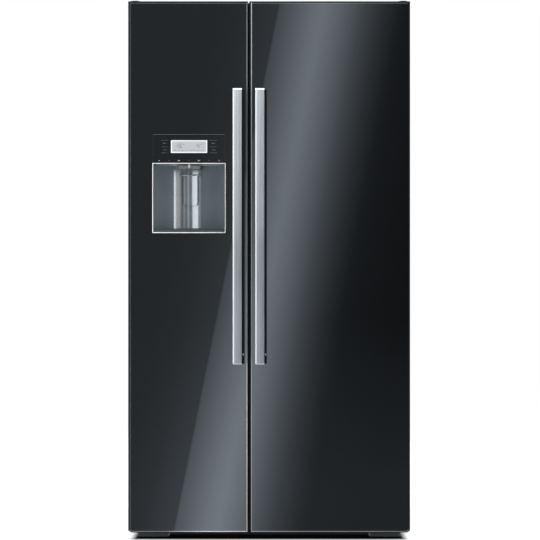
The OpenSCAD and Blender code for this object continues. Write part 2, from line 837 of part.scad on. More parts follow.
// Door outline, set in by e, with its bottom outer corner cut off; side is the hinge side
module door_plate(x, side, e, y) {
    x0 = x[0] + e;
    x1 = x[1] - e;
    z0 = door_z0 + e;
    z1 = door_z1 - e;
    outline = side > 0
        ? [[x0, z0], [x1 - chamfer_w, z0], [x1, z0 + chamfer_h], [x1, z1], [x0, z1]]
        : [[x1, z0], [x1, z1], [x0, z1], [x0, z0 + chamfer_h], [x0 + chamfer_w, z0]];
    translate([0, y[1], 0]) rotate([90, 0, 0]) linear_extrude(y[1] - y[0]) polygon(outline);
}

module door_frame(x, side) {
    difference() {
        door_plate(x, side, 0, [y_glass + glass_proud, y_pan]);
        door_plate(x, side, edge_t, [y_glass - over, y_core]);
        block([x[0] + edge_t, x[1] - edge_t], [y_glass, y_door], [door_z0 + cap_h, door_z1 - cap_h]);
        for (z = [[door_z0 - over, door_z0 + 15], [door_z1 - 15, door_z1 + over]]) {
            rod_z(side * hinge_x, y_hinge, z, pin_r + pin_clear);
        }
    }
}

// Raised rim around the inside of the door; e shrinks it to the foam inside
module door_rim(x, e, y) {
    difference() {
        block([x[0] + e, x[1] - e], y, [rim_z[0] + e, rim_z[1] - e]);
        block([x[0] + rim_w - e, x[1] - rim_w + e], [y[0] - over, y[1] + over],
              [rim_z[0] + rim_w - e, rim_z[1] - rim_w + e]);
    }
}

module door_core(x) {
    block([x[0] + edge_t, x[1] - edge_t], [y_core, y_pan], [door_z0 + cap_h, door_z1 - cap_h]);
}

module door_gasket(x) {
    g = liner_t + 1;
    difference() {
        block([x[0] - g - seal_w, x[1] + g + seal_w], [y_door, y_case],
              [in_z0 - g - seal_w, in_z1 + g + seal_w]);
        block([x[0] - g, x[1] + g], [y_door - over, y_case + over], [in_z0 - g, in_z1 + g]);
    }
}

module handle_bar(x) {
    c = 1.5;
    hw = handle_w / 2;
    translate([x, y_front, handle_z[0]]) linear_extrude(handle_l) polygon([
        [-hw, c], [-hw + c, 0], [hw - c, 0], [hw, c], [hw, handle_t], [-hw, handle_t]
    ]);
}

// Bracket behind the bar: a strip that shows along its right side, and a foot at each end
module handle_bracket(x) {
    hw = handle_w / 2;
    y0 = y_front + handle_t;
    block([x + 2, x + hw + strip_out], [y0, y0 + strip_t], [handle_z[0] + 2, handle_z[1] - 4]);
    block([x - hw + 5, x + hw + strip_out], [y0, y_glass], [handle_z[0] + 2, handle_z[0] + foot_l]);
    block([x - hw + 5, x + hw + strip_out], [y0, y_glass], [handle_z[1] - foot_l, handle_z[1] - 4]);
}

// Open-topped door bin between the rims
module door_bin(x, z0, h, front_h) {
    w = bin_wall;
    difference() {
        block(x, [y_door, y_bins], [z0, z0 + h]);
        block([x[0] + w, x[1] - w], [y_door + w, y_bins - w], [z0 + w, z0 + h + over]);
        block([x[0] + w, x[1] - w], [y_bins - w - over, y_bins + over],
              [z0 + front_h, z0 + h + over]);
    }
}

fridge_bin_x = [fridge_rim_x[0] + rim_w, fridge_rim_x[1] - rim_w];
freezer_bin_x = [freezer_rim_x[0] + rim_w, freezer_rim_x[1] - rim_w];
bin_z0 = rim_z[0] + rim_w + 6;
dairy_z0 = dairy_z1 - dairy_h;

// Freezer door

module freezer_door_glass() {
    color("black") difference() {
        door_plate(freezer_door_x, -1, edge_t, [y_glass, y_core]);
        block([disp_x - disp_w / 2 + lap, disp_x + disp_w / 2 - lap], [y_glass - over, y_core + over],
              [disp_z[0] + lap, disp_z[1] + panel_h]);
    }
}

module freezer_door_frame() {
    color("darkslategray") door_frame(freezer_door_x, -1);
}

// Half-round hollow of the dispenser, grown by g, open at its front plane
module hollow_space(g) {
    difference() {
        rod_z(disp_x, y_arc, [hollow_z[0] - g, hollow_z[1] + g], hollow_r + g);
        block([disp_x - 2 * hollow_r, disp_x + 2 * hollow_r], [y_arc - 2 * hollow_r, y_hollow],
              [hollow_z[0] - 2 * g - over, hollow_z[1] + 2 * g + over]);
    }
}

// Slanting tube from the mouth on top of the bulge to the roof of the hollow
module chute_tube(r, z) {
    reach = 80;
    intersection() {
        translate([disp_x, (mouth_y + chute_y) / 2, (bulge_z[1] + hollow_z[1]) / 2])
            rotate([-45, 0, 0]) cylinder(r = r, h = 4 * reach, center = true);
        block([disp_x - reach, disp_x + reach], [y_glass, y_bulge], z);
    }
}

module freezer_door_foam() {
    e = liner_t;
    color("khaki") difference() {
        union() {
            door_core(freezer_door_x);
            door_rim(freezer_rim_x, e, [y_pan, y_rim - e]);
            block([bulge_x[0] + e, bulge_x[1] - e], [y_pan, y_bulge - e],
                  [bulge_z[0] + e, bulge_z[1] - e]);
        }
        hollow_space(hollow_t);
        block([disp_x - disp_w / 2 + lap, disp_x + disp_w / 2 - lap], [y_glass, y_hollow],
              [disp_z[0] + lap, disp_z[1]]);
        block([disp_x - disp_w / 2 + lap, disp_x + disp_w / 2 - lap], [y_glass, y_glass + panel_t],
              [disp_z[1] - lap, disp_z[1] + panel_h]);
        chute_tube(chute_r + chute_t, [hollow_z[1], bulge_z[1] + over]);
    }
}

module freezer_door_liner() {
    e = liner_t;
    color("whitesmoke") difference() {
        union() {
            door_plate(freezer_door_x, -1, 0, [y_pan, y_door]);
            door_rim(freezer_rim_x, 0, [y_door, y_rim]);
            block(bulge_x, [y_door, y_bulge], bulge_z);
        }
        door_rim(freezer_rim_x, e, [y_pan - over, y_rim - e]);
        block([bulge_x[0] + e, bulge_x[1] - e], [y_pan - over, y_bulge - e],
              [bulge_z[0] + e, bulge_z[1] - e]);
        chute_tube(chute_r + chute_t, [hollow_z[1], bulge_z[1] + over]);
    }
}

module freezer_door_gasket() {
    color("dimgray") door_gasket(freezer_x);
}

module freezer_handle_bar() {
    color("silver") handle_bar(freezer_door_x[1] - handle_in);
}

module freezer_handle_bracket() {
    color("black") handle_bracket(freezer_door_x[1] - handle_in);
}

module freezer_door_bins() {
    step = (bulge_z[0] - bin_z0 - 20) / freezer_bins;
    color("azure") {
        for (i = [0:1:freezer_bins - 1]) {
            door_bin(freezer_bin_x, bin_z0 + i * step, bin_h, bin_h);
        }
        door_bin(freezer_bin_x, ice_z0 + ice_bin_h + 20, bin_h, bin_h);
    }
}

// Metal frame: a flange on the glass and a collar behind it
module dispenser_frame() {
    hw = disp_w / 2;
    color("silver") difference() {
        union() {
            block([disp_x - hw, disp_x + hw], [y_glass - 1.2, y_glass], disp_z);
            block([disp_x - hw + lap, disp_x + hw - lap], [y_glass - 0.1, y_hollow],
                  [disp_z[0] + lap, disp_z[1] - lap]);
        }
        block([disp_x - hollow_hw, disp_x + hollow_hw], [y_glass - 2 * over, y_hollow + over],
              hollow_z);
    }
}

// Half-round metal hollow with the lugs that carry the pad
module dispenser_hollow() {
    color("lightsteelblue") difference() {
        union() {
            difference() {
                hollow_space(hollow_t);
                hollow_space(0);
            }
            for (side = [-1, 1]) {
                intersection() {
                    hollow_space(hollow_t / 2);
                    translate([disp_x + side * (pad_lug_x - 2.5) - 2.5, pad_y - 6, pad_z - 6])
                        cube([5, 40, 12]);
                }
            }
        }
        rod_x([disp_x - pad_lug_x, disp_x + pad_lug_x], pad_y, pad_z, pad_pin_r + pin_clear);
        block([disp_x - spout_x, disp_x + spout_x], spout_y,
              [hollow_z[1] - over, hollow_z[1] + hollow_t + over]);
    }
}

// Slanting chute, the housing around its flap and the water nozzle in front of it
module ice_chute() {
    w = chute_t;
    color("gainsboro") {
        difference() {
            union() {
                chute_tube(chute_r + chute_t, [hollow_z[1], bulge_z[1]]);
                block([disp_x - spout_x, disp_x + spout_x], spout_y,
                      [hollow_z[1] - spout_h, hollow_z[1] + hollow_t]);
            }
            chute_tube(chute_r, [hollow_z[1] - over, bulge_z[1] + over]);
            block([disp_x - spout_x + w, disp_x + spout_x - w], [spout_y[0] + w, spout_y[1] - w],
                  [hollow_z[1] - spout_h - over, hollow_z[1]]);
            rod_x([disp_x - spout_x - over, disp_x + spout_x + over], flap_y, flap_z,
                  flap_pin_r + pin_clear);
        }
        rod_z(disp_x, spout_y[0] - 3.4, [hollow_z[1] - 16, hollow_z[1]], 3.5);
    }
}

module ice_flap() {
    color("dimgray") {
        rod_x([disp_x - spout_x + 0.2, disp_x + spout_x - 0.2], flap_y, flap_z, flap_pin_r);
        block([disp_x - spout_x + chute_t + 1, disp_x + spout_x - chute_t - 1],
              [spout_y[0] + chute_t + 2, flap_y], [flap_z - 1, flap_z + 1]);
    }
}

// Curved push pad, hung on a pin at its top
module dispenser_pad() {
    spread = 12;
    r_out = hollow_r - pad_gap;
    color("silver") {
        rod_x([disp_x - pad_lug_x + 0.2, disp_x + pad_lug_x - 0.2], pad_y, pad_z, pad_pin_r);
        intersection() {
            translate([disp_x, y_arc, pad_z - pad_l]) difference() {
                cylinder(r = r_out, h = pad_l);
                translate([0, 0, -over]) cylinder(r = r_out - pad_t, h = pad_l + 2 * over);
            }
            translate([disp_x, y_arc, pad_z - pad_l - over]) linear_extrude(pad_l + 2 * over) polygon([
                [0, 0], [-2 * r_out * sin(spread), 2 * r_out * cos(spread)],
                [2 * r_out * sin(spread), 2 * r_out * cos(spread)]
            ]);
        }
    }
}

// Tray on the floor of the hollow: its top rises to the back and has a slotted drain
module drip_tray() {
    side_gap = 1.5;
    y0 = y_hollow - collar_d + 1;
    z0 = hollow_z[0] + part_gap / 2;
    front_h = 6;
    color("silver") difference() {
        intersection() {
            rod_z(disp_x, y_arc, [z0, z0 + 2 * tray_h], hollow_r - side_gap);
            translate([disp_x - hollow_hw + side_gap, 0, 0]) rotate([90, 0, 90])
                linear_extrude(2 * (hollow_hw - side_gap)) polygon([
                    [y0, z0], [y_hollow + hollow_d, z0], [y_hollow + hollow_d, z0 + tray_h],
                    [y0, z0 + front_h]
                ]);
        }
        for (i = [-3:1:3]) {
            translate([disp_x + i * 10 - 3, y_hollow + 14, z0 + 2]) cube([6, 26, 2 * tray_h]);
        }
    }
}

function key_box(i) = [i < 2 ? -1 : 1, i % 2 == 0 ? 0.5 : -0.5];

module key_space(i, g, y) {
    x = disp_x + key_box(i)[0] * key_x;
    z = display_z + key_box(i)[1] * key_pitch;
    block([x - key_w / 2 - g, x + key_w / 2 + g], y, [z - key_h / 2 - g, z + key_h / 2 + g]);
}

module control_panel() {
    depth = 6.5;
    color("black") difference() {
        block([disp_x - disp_w / 2 + lap, disp_x + disp_w / 2 - lap], [y_glass, y_glass + panel_t],
              [disp_z[1] - lap, disp_z[1] + panel_h]);
        block([disp_x - display_w / 2, disp_x + display_w / 2], [y_glass - over, y_glass + 5],
              [display_z - display_h / 2, display_z + display_h / 2]);
        for (i = [0:1:3]) {
            key_space(i, key_clear, [y_glass - over, y_glass + depth]);
        }
        block([disp_x - hollow_hw, disp_x + hollow_hw], [y_glass - over, y_hollow],
              [disp_z[1] - lap - over, disp_z[1] - lap]);
    }
}

module display() {
    color("lightgray") block([disp_x - display_w / 2, disp_x + display_w / 2],
                             [y_glass + 0.3, y_glass + 5],
                             [display_z - display_h / 2, display_z + display_h / 2]);
}

module key(i) {
    color("dimgray") key_space(i, 0, [y_glass - 0.2, y_glass + 5]);
}

module key_1() {
    key(0);
}

module key_2() {
    key(1);
}

module key_3() {
    key(2);
}

module key_4() {
    key(3);
}

// Larder door

module fridge_door_glass() {
    color("black") door_plate(fridge_door_x, 1, edge_t, [y_glass, y_core]);
}

module fridge_door_frame() {
    color("darkslategray") door_frame(fridge_door_x, 1);
}

module fridge_door_foam() {
    color("khaki") {
        door_core(fridge_door_x);
        door_rim(fridge_rim_x, liner_t, [y_pan, y_rim - liner_t]);
    }
}

module fridge_door_liner() {
    color("whitesmoke") difference() {
        union() {
            door_plate(fridge_door_x, 1, 0, [y_pan, y_door]);
            door_rim(fridge_rim_x, 0, [y_door, y_rim]);
        }
        door_rim(fridge_rim_x, liner_t, [y_pan - over, y_rim - liner_t]);
    }
}

module fridge_door_gasket() {
    color("dimgray") door_gasket(fridge_x);
}

module fridge_handle_bar() {
    color("silver") handle_bar(fridge_door_x[0] + handle_in);
}

module fridge_handle_bracket() {
    color("black") handle_bracket(fridge_door_x[0] + handle_in);
}

module fridge_door_bins() {
    step = (dairy_z0 - bin_z0) / fridge_bins;
    color("azure") {
        for (i = [0:1:fridge_bins - 1]) {
            door_bin(fridge_bin_x, bin_z0 + i * step, bin_h, bin_h);
        }
        difference() {
            door_bin(fridge_bin_x, dairy_z0, dairy_h, dairy_h - 9);
            rod_x([fridge_bin_x[0] - over, fridge_bin_x[1] + over], dairy_pin_y, dairy_z1 - 5.5,
                  dairy_pin_r + pin_clear);
        }
    }
}

// Hinged cover of the dairy bin
module dairy_lid() {
    play = 0.6;
    w = bin_wall;
    color("lightcyan") {
        rod_x([fridge_bin_x[0] + 0.4, fridge_bin_x[1] - 0.4], dairy_pin_y, dairy_z1 - 5.5,
              dairy_pin_r);
        block([fridge_bin_x[0] + w + play, fridge_bin_x[1] - w - play], [dairy_pin_y, y_bins],
              [dairy_z1 - 7, dairy_z1 - 4]);
    }
}

case_wrap();
rear_panels();
case_foam();
freezer_liner();
fridge_liner();
base_frame();
plinth();
hinge_brackets();
hinge_covers();
compressor();
condenser();
water_valve();
air_ducts();
evaporator();
ice_maker();
shelf_panes();
shelf_trims();
interior_lights();
ice_bin();
rear_roller_left();
rear_roller_right();
front_foot_left();
front_foot_right();
condenser_fan();
evaporator_fan();
ice_auger();
ice_ejector();
fridge_drawer_lower();
fridge_drawer_upper();
freezer_drawer_lower();
freezer_drawer_upper();
freezer_door_glass();
freezer_door_frame();
freezer_door_foam();
freezer_door_liner();
freezer_door_gasket();
freezer_handle_bar();
freezer_handle_bracket();
freezer_door_bins();
fridge_door_glass();
fridge_door_frame();
fridge_door_foam();
fridge_door_liner();
fridge_door_gasket();
fridge_handle_bar();
fridge_handle_bracket();
fridge_door_bins();
dairy_lid();
dispenser_frame();
dispenser_hollow();
ice_chute();
dispenser_pad();
drip_tray();
control_panel();
display();
ice_flap();
key_1();
key_2();
key_3();
key_4();
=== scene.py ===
"""Looks of a side by side refrigerator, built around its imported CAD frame.
The sections follow the order in which the appliance is put together."""

import bmesh
import bpy
import numpy as np
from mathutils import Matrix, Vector


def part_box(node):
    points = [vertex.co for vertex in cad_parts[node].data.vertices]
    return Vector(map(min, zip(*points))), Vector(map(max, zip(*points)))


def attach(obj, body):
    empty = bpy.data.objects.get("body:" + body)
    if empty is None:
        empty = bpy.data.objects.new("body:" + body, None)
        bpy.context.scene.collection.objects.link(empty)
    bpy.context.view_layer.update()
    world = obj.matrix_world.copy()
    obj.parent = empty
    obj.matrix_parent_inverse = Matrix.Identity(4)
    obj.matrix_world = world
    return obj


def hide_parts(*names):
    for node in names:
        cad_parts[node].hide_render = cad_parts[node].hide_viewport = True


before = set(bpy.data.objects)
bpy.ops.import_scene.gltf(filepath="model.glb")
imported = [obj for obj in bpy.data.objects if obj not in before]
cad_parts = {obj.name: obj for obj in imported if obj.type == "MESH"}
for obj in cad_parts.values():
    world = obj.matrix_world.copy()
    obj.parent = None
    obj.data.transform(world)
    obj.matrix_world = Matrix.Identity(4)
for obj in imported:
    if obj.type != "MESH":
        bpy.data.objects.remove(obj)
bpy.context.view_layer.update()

# ------------------------------------------------------------------ Case wrap
# Pre-painted sheet steel, folded into two sides and a top with a narrow front flange.
# The satin dark grey coat is baked on and has a fine orange peel.


def limits(node):
    """Lowest and highest corner of a CAD node, as two arrays."""
    low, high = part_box(node)
    return np.array(low), np.array(high)


def feed(node, sockets):
    """Gives each named socket of a node a constant or another node's output."""
    for name, value in sockets.items():
        if isinstance(value, bpy.types.NodeSocket):
            node.id_data.links.new(value, node.inputs[name])
        else:
            node.inputs[name].default_value = value
    return node


def put(tree, kind, sockets=None, **settings):
    """Adds one shader node with its settings, then feeds its sockets."""
    node = tree.nodes.new("ShaderNode" + kind)
    for name, value in settings.items():
        setattr(node, name, value)
    return feed(node, sockets or {})


def finish(name, colour, roughness, metallic=0.0, grain=(300, 300, 300), tone=0.08, polish=0.05,
           relief=0.0, sockets=None):
    """Material from two noises on Object coordinates. The fine one is stretched by grain, in cells per
    metre along each axis, and the broad one is a slow cloud. Together they shift the colour by the
    share tone and the roughness by polish, and the fine one lifts the surface by relief metres."""
    material = bpy.data.materials.new(name)
    material.use_nodes = True
    tree = material.node_tree
    place = put(tree, "TexCoord").outputs["Object"]
    stretch = put(tree, "Mapping", {"Vector": place, "Scale": grain}).outputs["Vector"]
    fine = put(tree, "TexNoise", {"Vector": stretch, "Scale": 1.0, "Detail": 3.0}).outputs["Fac"]
    cloud = put(tree, "TexNoise", {"Vector": place, "Scale": 3.0}).outputs["Fac"]
    blend = put(tree, "Math", {0: cloud, 1: 0.4, 2: fine}, operation="MULTIPLY_ADD").outputs["Value"]
    dark, light = 0.45, 0.95
    shades = put(tree, "ValToRGB", {"Fac": blend})
    for number, mark, share in ((0, dark, 1 - tone), (1, light, 1 + tone)):
        shades.color_ramp.elements[number].position = mark
        shades.color_ramp.elements[number].color = [*(min(1, c * share) for c in colour), 1]
    sheen = put(tree, "MapRange", {"Value": blend, "From Min": dark, "From Max": light,
                                   "To Min": max(0.0, roughness - polish),
                                   "To Max": min(1.0, roughness + polish)})
    fed = {"Metallic": metallic, "Base Color": shades.outputs["Color"],
           "Roughness": sheen.outputs["Result"], **(sockets or {})}
    if relief:
        bump = put(tree, "Bump", {"Strength": 1.0, "Distance": relief, "Height": fine})
        fed["Normal"] = bump.outputs["Normal"]
    feed(tree.nodes["Principled BSDF"], fed)
    return material


def dress(material, *nodes):
    """Puts one material over each of these CAD nodes."""
    for node in nodes:
        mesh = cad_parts[node].data
        mesh.materials.clear()
        mesh.materials.append(material)


case_paint = finish("baked_case_paint", (0.030, 0.034, 0.038), 0.40, grain=(420, 420, 420),
                    tone=0.10, relief=0.00004, sockets={"Coat Weight": 0.15, "Coat Roughness": 0.3})
dress(case_paint, "case_wrap")

# --------------------------------------------------- Back sheet and bay cover
# Zinc-coated sheet with pressed beads that stop it drumming, held by pan-head screws round its
# border. The vented cover under it closes the machine bay, and two plugs keep it off the wall.


def grid_faces(m, n, wrap_m=False, wrap_n=False):
    """Quads between neighbouring points of an m by n grid; a wrapped side joins its last to its first."""
    i = np.arange(m if wrap_m else m - 1)[:, None]
    j = np.arange(n if wrap_n else n - 1)[None, :]
    i2, j2 = (i + 1) % m, (j + 1) % n
    return np.stack([i * n + j, i * n + j2, i2 * n + j2, i2 * n + j], -1).reshape(-1, 4)


def closed_sheet(front, back):
    """Two grids of one size, joined round their border into a closed solid."""
    m, n = front.shape[:2]
    index = np.arange(m * n).reshape(m, n)
    border = np.concatenate([index[0, :-1], index[:-1, -1], index[-1, :0:-1], index[:0:-1, 0]])
    after = np.roll(border, -1)
    walls = np.stack([border, after, after + m * n, border + m * n], 1)
    quads = grid_faces(m, n)
    points = np.concatenate([front.reshape(-1, 3), back.reshape(-1, 3)])
    return points, [quads, quads[:, ::-1] + m * n, walls]


def turned(profile, axis="z", sides=24):
    """Surface of revolution: each (radius, height) of the profile goes once round the axis."""
    profile = np.array(profile, float)
    angle = np.arange(sides) * 2 * np.pi / sides
    a = profile[:, :1] * np.cos(angle)
    b = profile[:, :1] * np.sin(angle)
    h = np.broadcast_to(profile[:, 1:], a.shape)
    points = np.stack({"x": (h, a, b), "y": (a, h, b), "z": (a, b, h)}[axis], -1)
    m = len(profile)
    ends = [np.arange(sides)[None], np.arange(sides)[None] + (m - 1) * sides]
    return points.reshape(-1, 3), [grid_faces(m, sides, False, True), *ends]


def stamp(shape, places):
    """One small mesh repeated at each of the places."""
    points, blocks = shape
    places = np.array(places, float).reshape(-1, 3)
    shift = np.arange(len(places)) * len(points)
    many = [(block[None] + shift[:, None, None]).reshape(-1, block.shape[1]) for block in blocks]
    return (points[None] + places[:, None]).reshape(-1, 3), many


def make(name, parts, body, materials, sharp=35, replaces=None):
    """Joins parts, each (points, blocks of faces, material number), into one closed piece. Doubles are
    merged, normals turned outwards, edges over the angle sharp stay crisp, and it rides on the body."""
    points, faces, numbers, start = [], [], [], 0
    for part in parts:
        part_points = np.asarray(part[0], float).reshape(-1, 3)
        points.append(part_points)
        for block in part[1]:
            faces += (np.asarray(block) + start).tolist()
        count = sum(len(block) for block in part[1])
        numbers.append(np.broadcast_to(part[2] if len(part) > 2 else 0, count))
        start += len(part_points)
    mesh = bpy.data.meshes.new(name)
    mesh.from_pydata(np.concatenate(points).tolist(), [], faces)
    mesh.polygons.foreach_set("material_index", np.concatenate(numbers).astype(np.int32))
    shape = bmesh.new()
    shape.from_mesh(mesh)
    bmesh.ops.remove_doubles(shape, verts=shape.verts, dist=1e-6)
    bmesh.ops.dissolve_degenerate(shape, edges=shape.edges, dist=1e-7)
    bmesh.ops.recalc_face_normals(shape, faces=shape.faces)
    shape.to_mesh(mesh)
    shape.free()
    mesh.polygons.foreach_set("use_smooth", np.ones(len(mesh.polygons), bool))
    mesh.set_sharp_from_angle(angle=np.radians(sharp))
    for material in materials if isinstance(materials, list) else [materials]:
        mesh.materials.append(material)
    piece = bpy.data.objects.new(name, mesh)
    bpy.context.scene.collection.objects.link(piece)
    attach(piece, body)
    if replaces:
        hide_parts(replaces)


SCREW = turned([(0, 0.0007), (0.0011, 0.0007), (0.0016, 0.0017), (0.0030, 0.0014), (0.0040, 0.0003),
                (0.0040, -0.0005), (0, -0.0005)], "y", 12)

zinc = finish("zinc_coated_sheet", (0.42, 0.43, 0.44), 0.42, 0.9, grain=(90, 90, 90), tone=0.16,
              polish=0.12, relief=0.00002)
dress(zinc, "rear_panels", "hinge_brackets")


def back_sheet():
    """Sheet whose height over (x, z) is the sum of eight level beads. A bead's height is half a cosine
    of the distance to its core line, which runs across the sheet and ends round."""
    low, high = limits("case_wrap")
    bay = limits("condenser")[1][2] + 0.024
    bead_height, bead_half, sheet_t = 0.0026, 0.017, 0.0008
    x = np.linspace(low[0] + 0.012, high[0] - 0.012, 91)[None, :]
    z = np.linspace(bay + 0.012, high[2] - 0.012, 241)[:, None]
    cores = np.linspace(z[0, 0] + 0.13, z[-1, 0] - 0.10, 8)
    reach = np.abs(x) - (high[0] - 0.16)
    distance = np.hypot(np.maximum(reach, 0)[None], (z - cores[:, None, None]))
    height = (bead_height * (0.5 + 0.5 * np.cos(np.pi * np.clip(distance / bead_half, 0, 1)))).sum(0)
    grid_x, grid_z = np.broadcast_arrays(x, z)
    back = high[1]
    outer = np.stack([grid_x, back + sheet_t + height, grid_z], -1)
    inner = np.stack([grid_x, np.full_like(height, back), grid_z], -1)
    make("back_sheet", [closed_sheet(outer, inner)], "case", zinc)
    side = np.linspace(z[0, 0] + 0.03, z[-1, 0] - 0.03, 8)
    across = np.linspace(low[0] + 0.05, high[0] - 0.05, 7)
    places = [(sx * (high[0] - 0.022), back + sheet_t, h) for sx in (-1, 1) for h in side]
    places += [(w, back + sheet_t, z[-1, 0] - 0.010) for w in across]
    places += [(w, back + 0.0002, low[2] + 0.012) for w in across]
    places += [(w, back + 0.0002, bay - 0.012) for w in across]
    make("back_screws", [stamp(SCREW, places)], "case", zinc)


back_sheet()


def wall_plugs():
    """Ribbed bumper on each wall spacer: a turned profile with three grooves."""
    tip = limits("rear_panels")[1][1] - 0.0002
    case = limits("case_wrap")[1]
    back, r, reach, drop = case[1], 0.0128, 0.350, 0.240
    ring = [(0, back), (r, back)]
    for step in (0.002, 0.005, 0.008):
        ring += [(r, back + step), (r - 0.001, back + step + 0.0006), (r, back + step + 0.0012)]
    ring += [(r, tip - 0.0008), (r - 0.002, tip), (0, tip)]
    rubber = finish("spacer_rubber", (0.02, 0.02, 0.022), 0.7, grain=(900, 900, 900), relief=0.00002)
    parts = [stamp(turned(ring, "y", 32), [(side * reach, 0, case[2] - drop)]) for side in (-1, 1)]
    make("wall_plugs", parts, "case", rubber)


wall_plugs()

# ----------------------------------------------------------------- Insulation
# Rigid foam blown between the steel and the liners: pale yellow, with small closed cells that show
# only at a cut. The doors are filled the same way.


def foam_finish():
    """Cells from a Voronoi pattern on Object coordinates, shaded and dimpled."""
    material = finish("blown_foam", (0.78, 0.66, 0.34), 0.9, grain=(500, 500, 500), tone=0.12)
    tree = material.node_tree
    place = tree.nodes["Texture Coordinate"].outputs["Object"]
    cells = put(tree, "TexVoronoi", {"Vector": place, "Scale": 700.0})
    bump = put(tree, "Bump", {"Height": cells.outputs["Distance"], "Distance": 0.0004})
    feed(tree.nodes["Principled BSDF"], {"Normal": bump.outputs["Normal"]})
    return material


dress(foam_finish(), "case_foam", "freezer_door_foam", "fridge_door_foam")

# --------------------------------------------------------------- Inner liners
# Two tubs of white polystyrene, vacuum formed, glossy, with ledges for shelves and drawers.
liner_white = finish("formed_liner", (0.74, 0.76, 0.78), 0.28, grain=(120, 120, 120), tone=0.03,
                     relief=0.00002, sockets={"Coat Weight": 0.3, "Coat Roughness": 0.15})
dress(liner_white, "freezer_liner", "fridge_liner", "freezer_door_liner", "fridge_door_liner")

# ----------------------------------------------------- Base frame and rollers
# Coated steel pan with two channel rails, a nut block over each front foot and ears for the rollers.
# Hard nylon rollers turn on steel axles, and the moulded feet screw up and down.
chassis = finish("coated_chassis", (0.050, 0.050, 0.053), 0.55, grain=(260, 260, 260), tone=0.14,
                 relief=0.00004)
dress(chassis, "base_frame")
foot_plastic = finish("foot_moulding", (0.035, 0.036, 0.040), 0.6, grain=(600, 600, 600), tone=0.12,
                      relief=0.00003)
dress(foot_plastic, "front_foot_left", "front_foot_right")


def rear_roller(side):
    """Roller turned about X: a crowned tread with two grooves, webs dished towards a hub, and an axle."""
    node = "rear_roller_" + side
    low, high = limits(node)
    mid = (low + high) / 2
    r, half = (high[2] - low[2]) / 2, (high[0] - low[0]) / 2
    tread = half - 0.006
    rim = [(0, -half), (0.004, -half), (0.004, -tread + 0.003), (0.011, -tread + 0.003),
           (0.013, -tread), (r - 0.0015, -tread), (r - 0.0002, -tread + 0.002)]
    for h in (-0.0035, 0.0035):
        rim += [(r, h - 0.001), (r - 0.0012, h), (r, h + 0.001)]
    rim += [(r - 0.0002, tread - 0.002), (r - 0.0015, tread), (0.013, tread), (0.011, tread - 0.003),
            (0.004, tread - 0.003), (0.004, half), (0, half)]
    make(node + "_wheel", [stamp(turned(rim, "x", 48), [mid])], node, nylon,
         replaces=node)


nylon = finish("roller_nylon", (0.09, 0.09, 0.095), 0.45, grain=(500, 500, 500), tone=0.1,
               relief=0.00002)
rear_roller("left")
rear_roller("right")

# ------------------------------------------------ Foot covers and toe grille
# Slate grey mouldings clip over the front feet, and a black louvred strip lets air in under the case.


def rounded(x0, x1, y0, y1, r, steps=6):
    """Closed outline, counter-clockwise: a rectangle with quarter circles of radius r at its corners."""
    angle = np.linspace(0, np.pi / 2, steps + 1)[None] + np.arange(4)[:, None] * np.pi / 2
    cx = np.array([x1 - r, x0 + r, x0 + r, x1 - r])[:, None]
    cy = np.array([y1 - r, y1 - r, y0 + r, y0 + r])[:, None]
    return np.stack([cx + r * np.cos(angle), cy + r * np.sin(angle)], -1).reshape(-1, 2)


def inset(outline, d):
    """Outline moved inwards by d, each point along the mitre of its two edges."""
    step = np.roll(outline, -1, 0) - outline
    normal = np.stack([-step[:, 1], step[:, 0]], 1) / np.linalg.norm(step, axis=1)[:, None]
    before = np.roll(normal, 1, 0)
    return outline + d * (before + normal) / (1 + (before * normal).sum(1))[:, None]


def loft(rings, joined=False):
    """Skin over a stack of rings of equal size. Its two ends are closed flat, or joined to each other."""
    m, n = rings.shape[:2]
    blocks = [grid_faces(m, n, joined, True)]
    if not joined:
        blocks += [np.arange(n)[None], np.arange(n)[None] + (m - 1) * n]
    return rings.reshape(-1, 3), blocks


def carried(outline, profile, plane="xy", joined=False):
    """Profile carried round an outline: each (inset, level) of the profile is the outline moved inwards
    by inset and placed at that level on the axis square to the plane."""
    rings = np.stack([inset(outline, step[0]) for step in profile])
    level = np.broadcast_to(np.array(profile, float)[:, 1][:, None], rings.shape[:2])
    a, b = rings[..., 0], rings[..., 1]
    order = {"xy": (a, b, level), "xz": (a, level, b), "yz": (level, a, b)}[plane]
    return loft(np.stack(order, -1), joined)


def block(x, y, z, edge=0.0005):
    """Box between three pairs of limits whose edges are all cut by the width edge."""
    ends = [(edge, z[0]), (0, z[0] + edge), (0, z[1] - edge), (edge, z[1])]
    return carried(rounded(x[0], x[1], y[0], y[1], edge, 1), ends)


slate = finish("slate_moulding", (0.024, 0.032, 0.035), 0.42, grain=(700, 700, 700), tone=0.10,
               relief=0.00003)
black_plastic = finish("black_moulding", (0.0040, 0.0042, 0.0046), 0.5, grain=(800, 800, 800),
                       tone=0.15, relief=0.00003, sockets={"Specular IOR Level": 0.25})


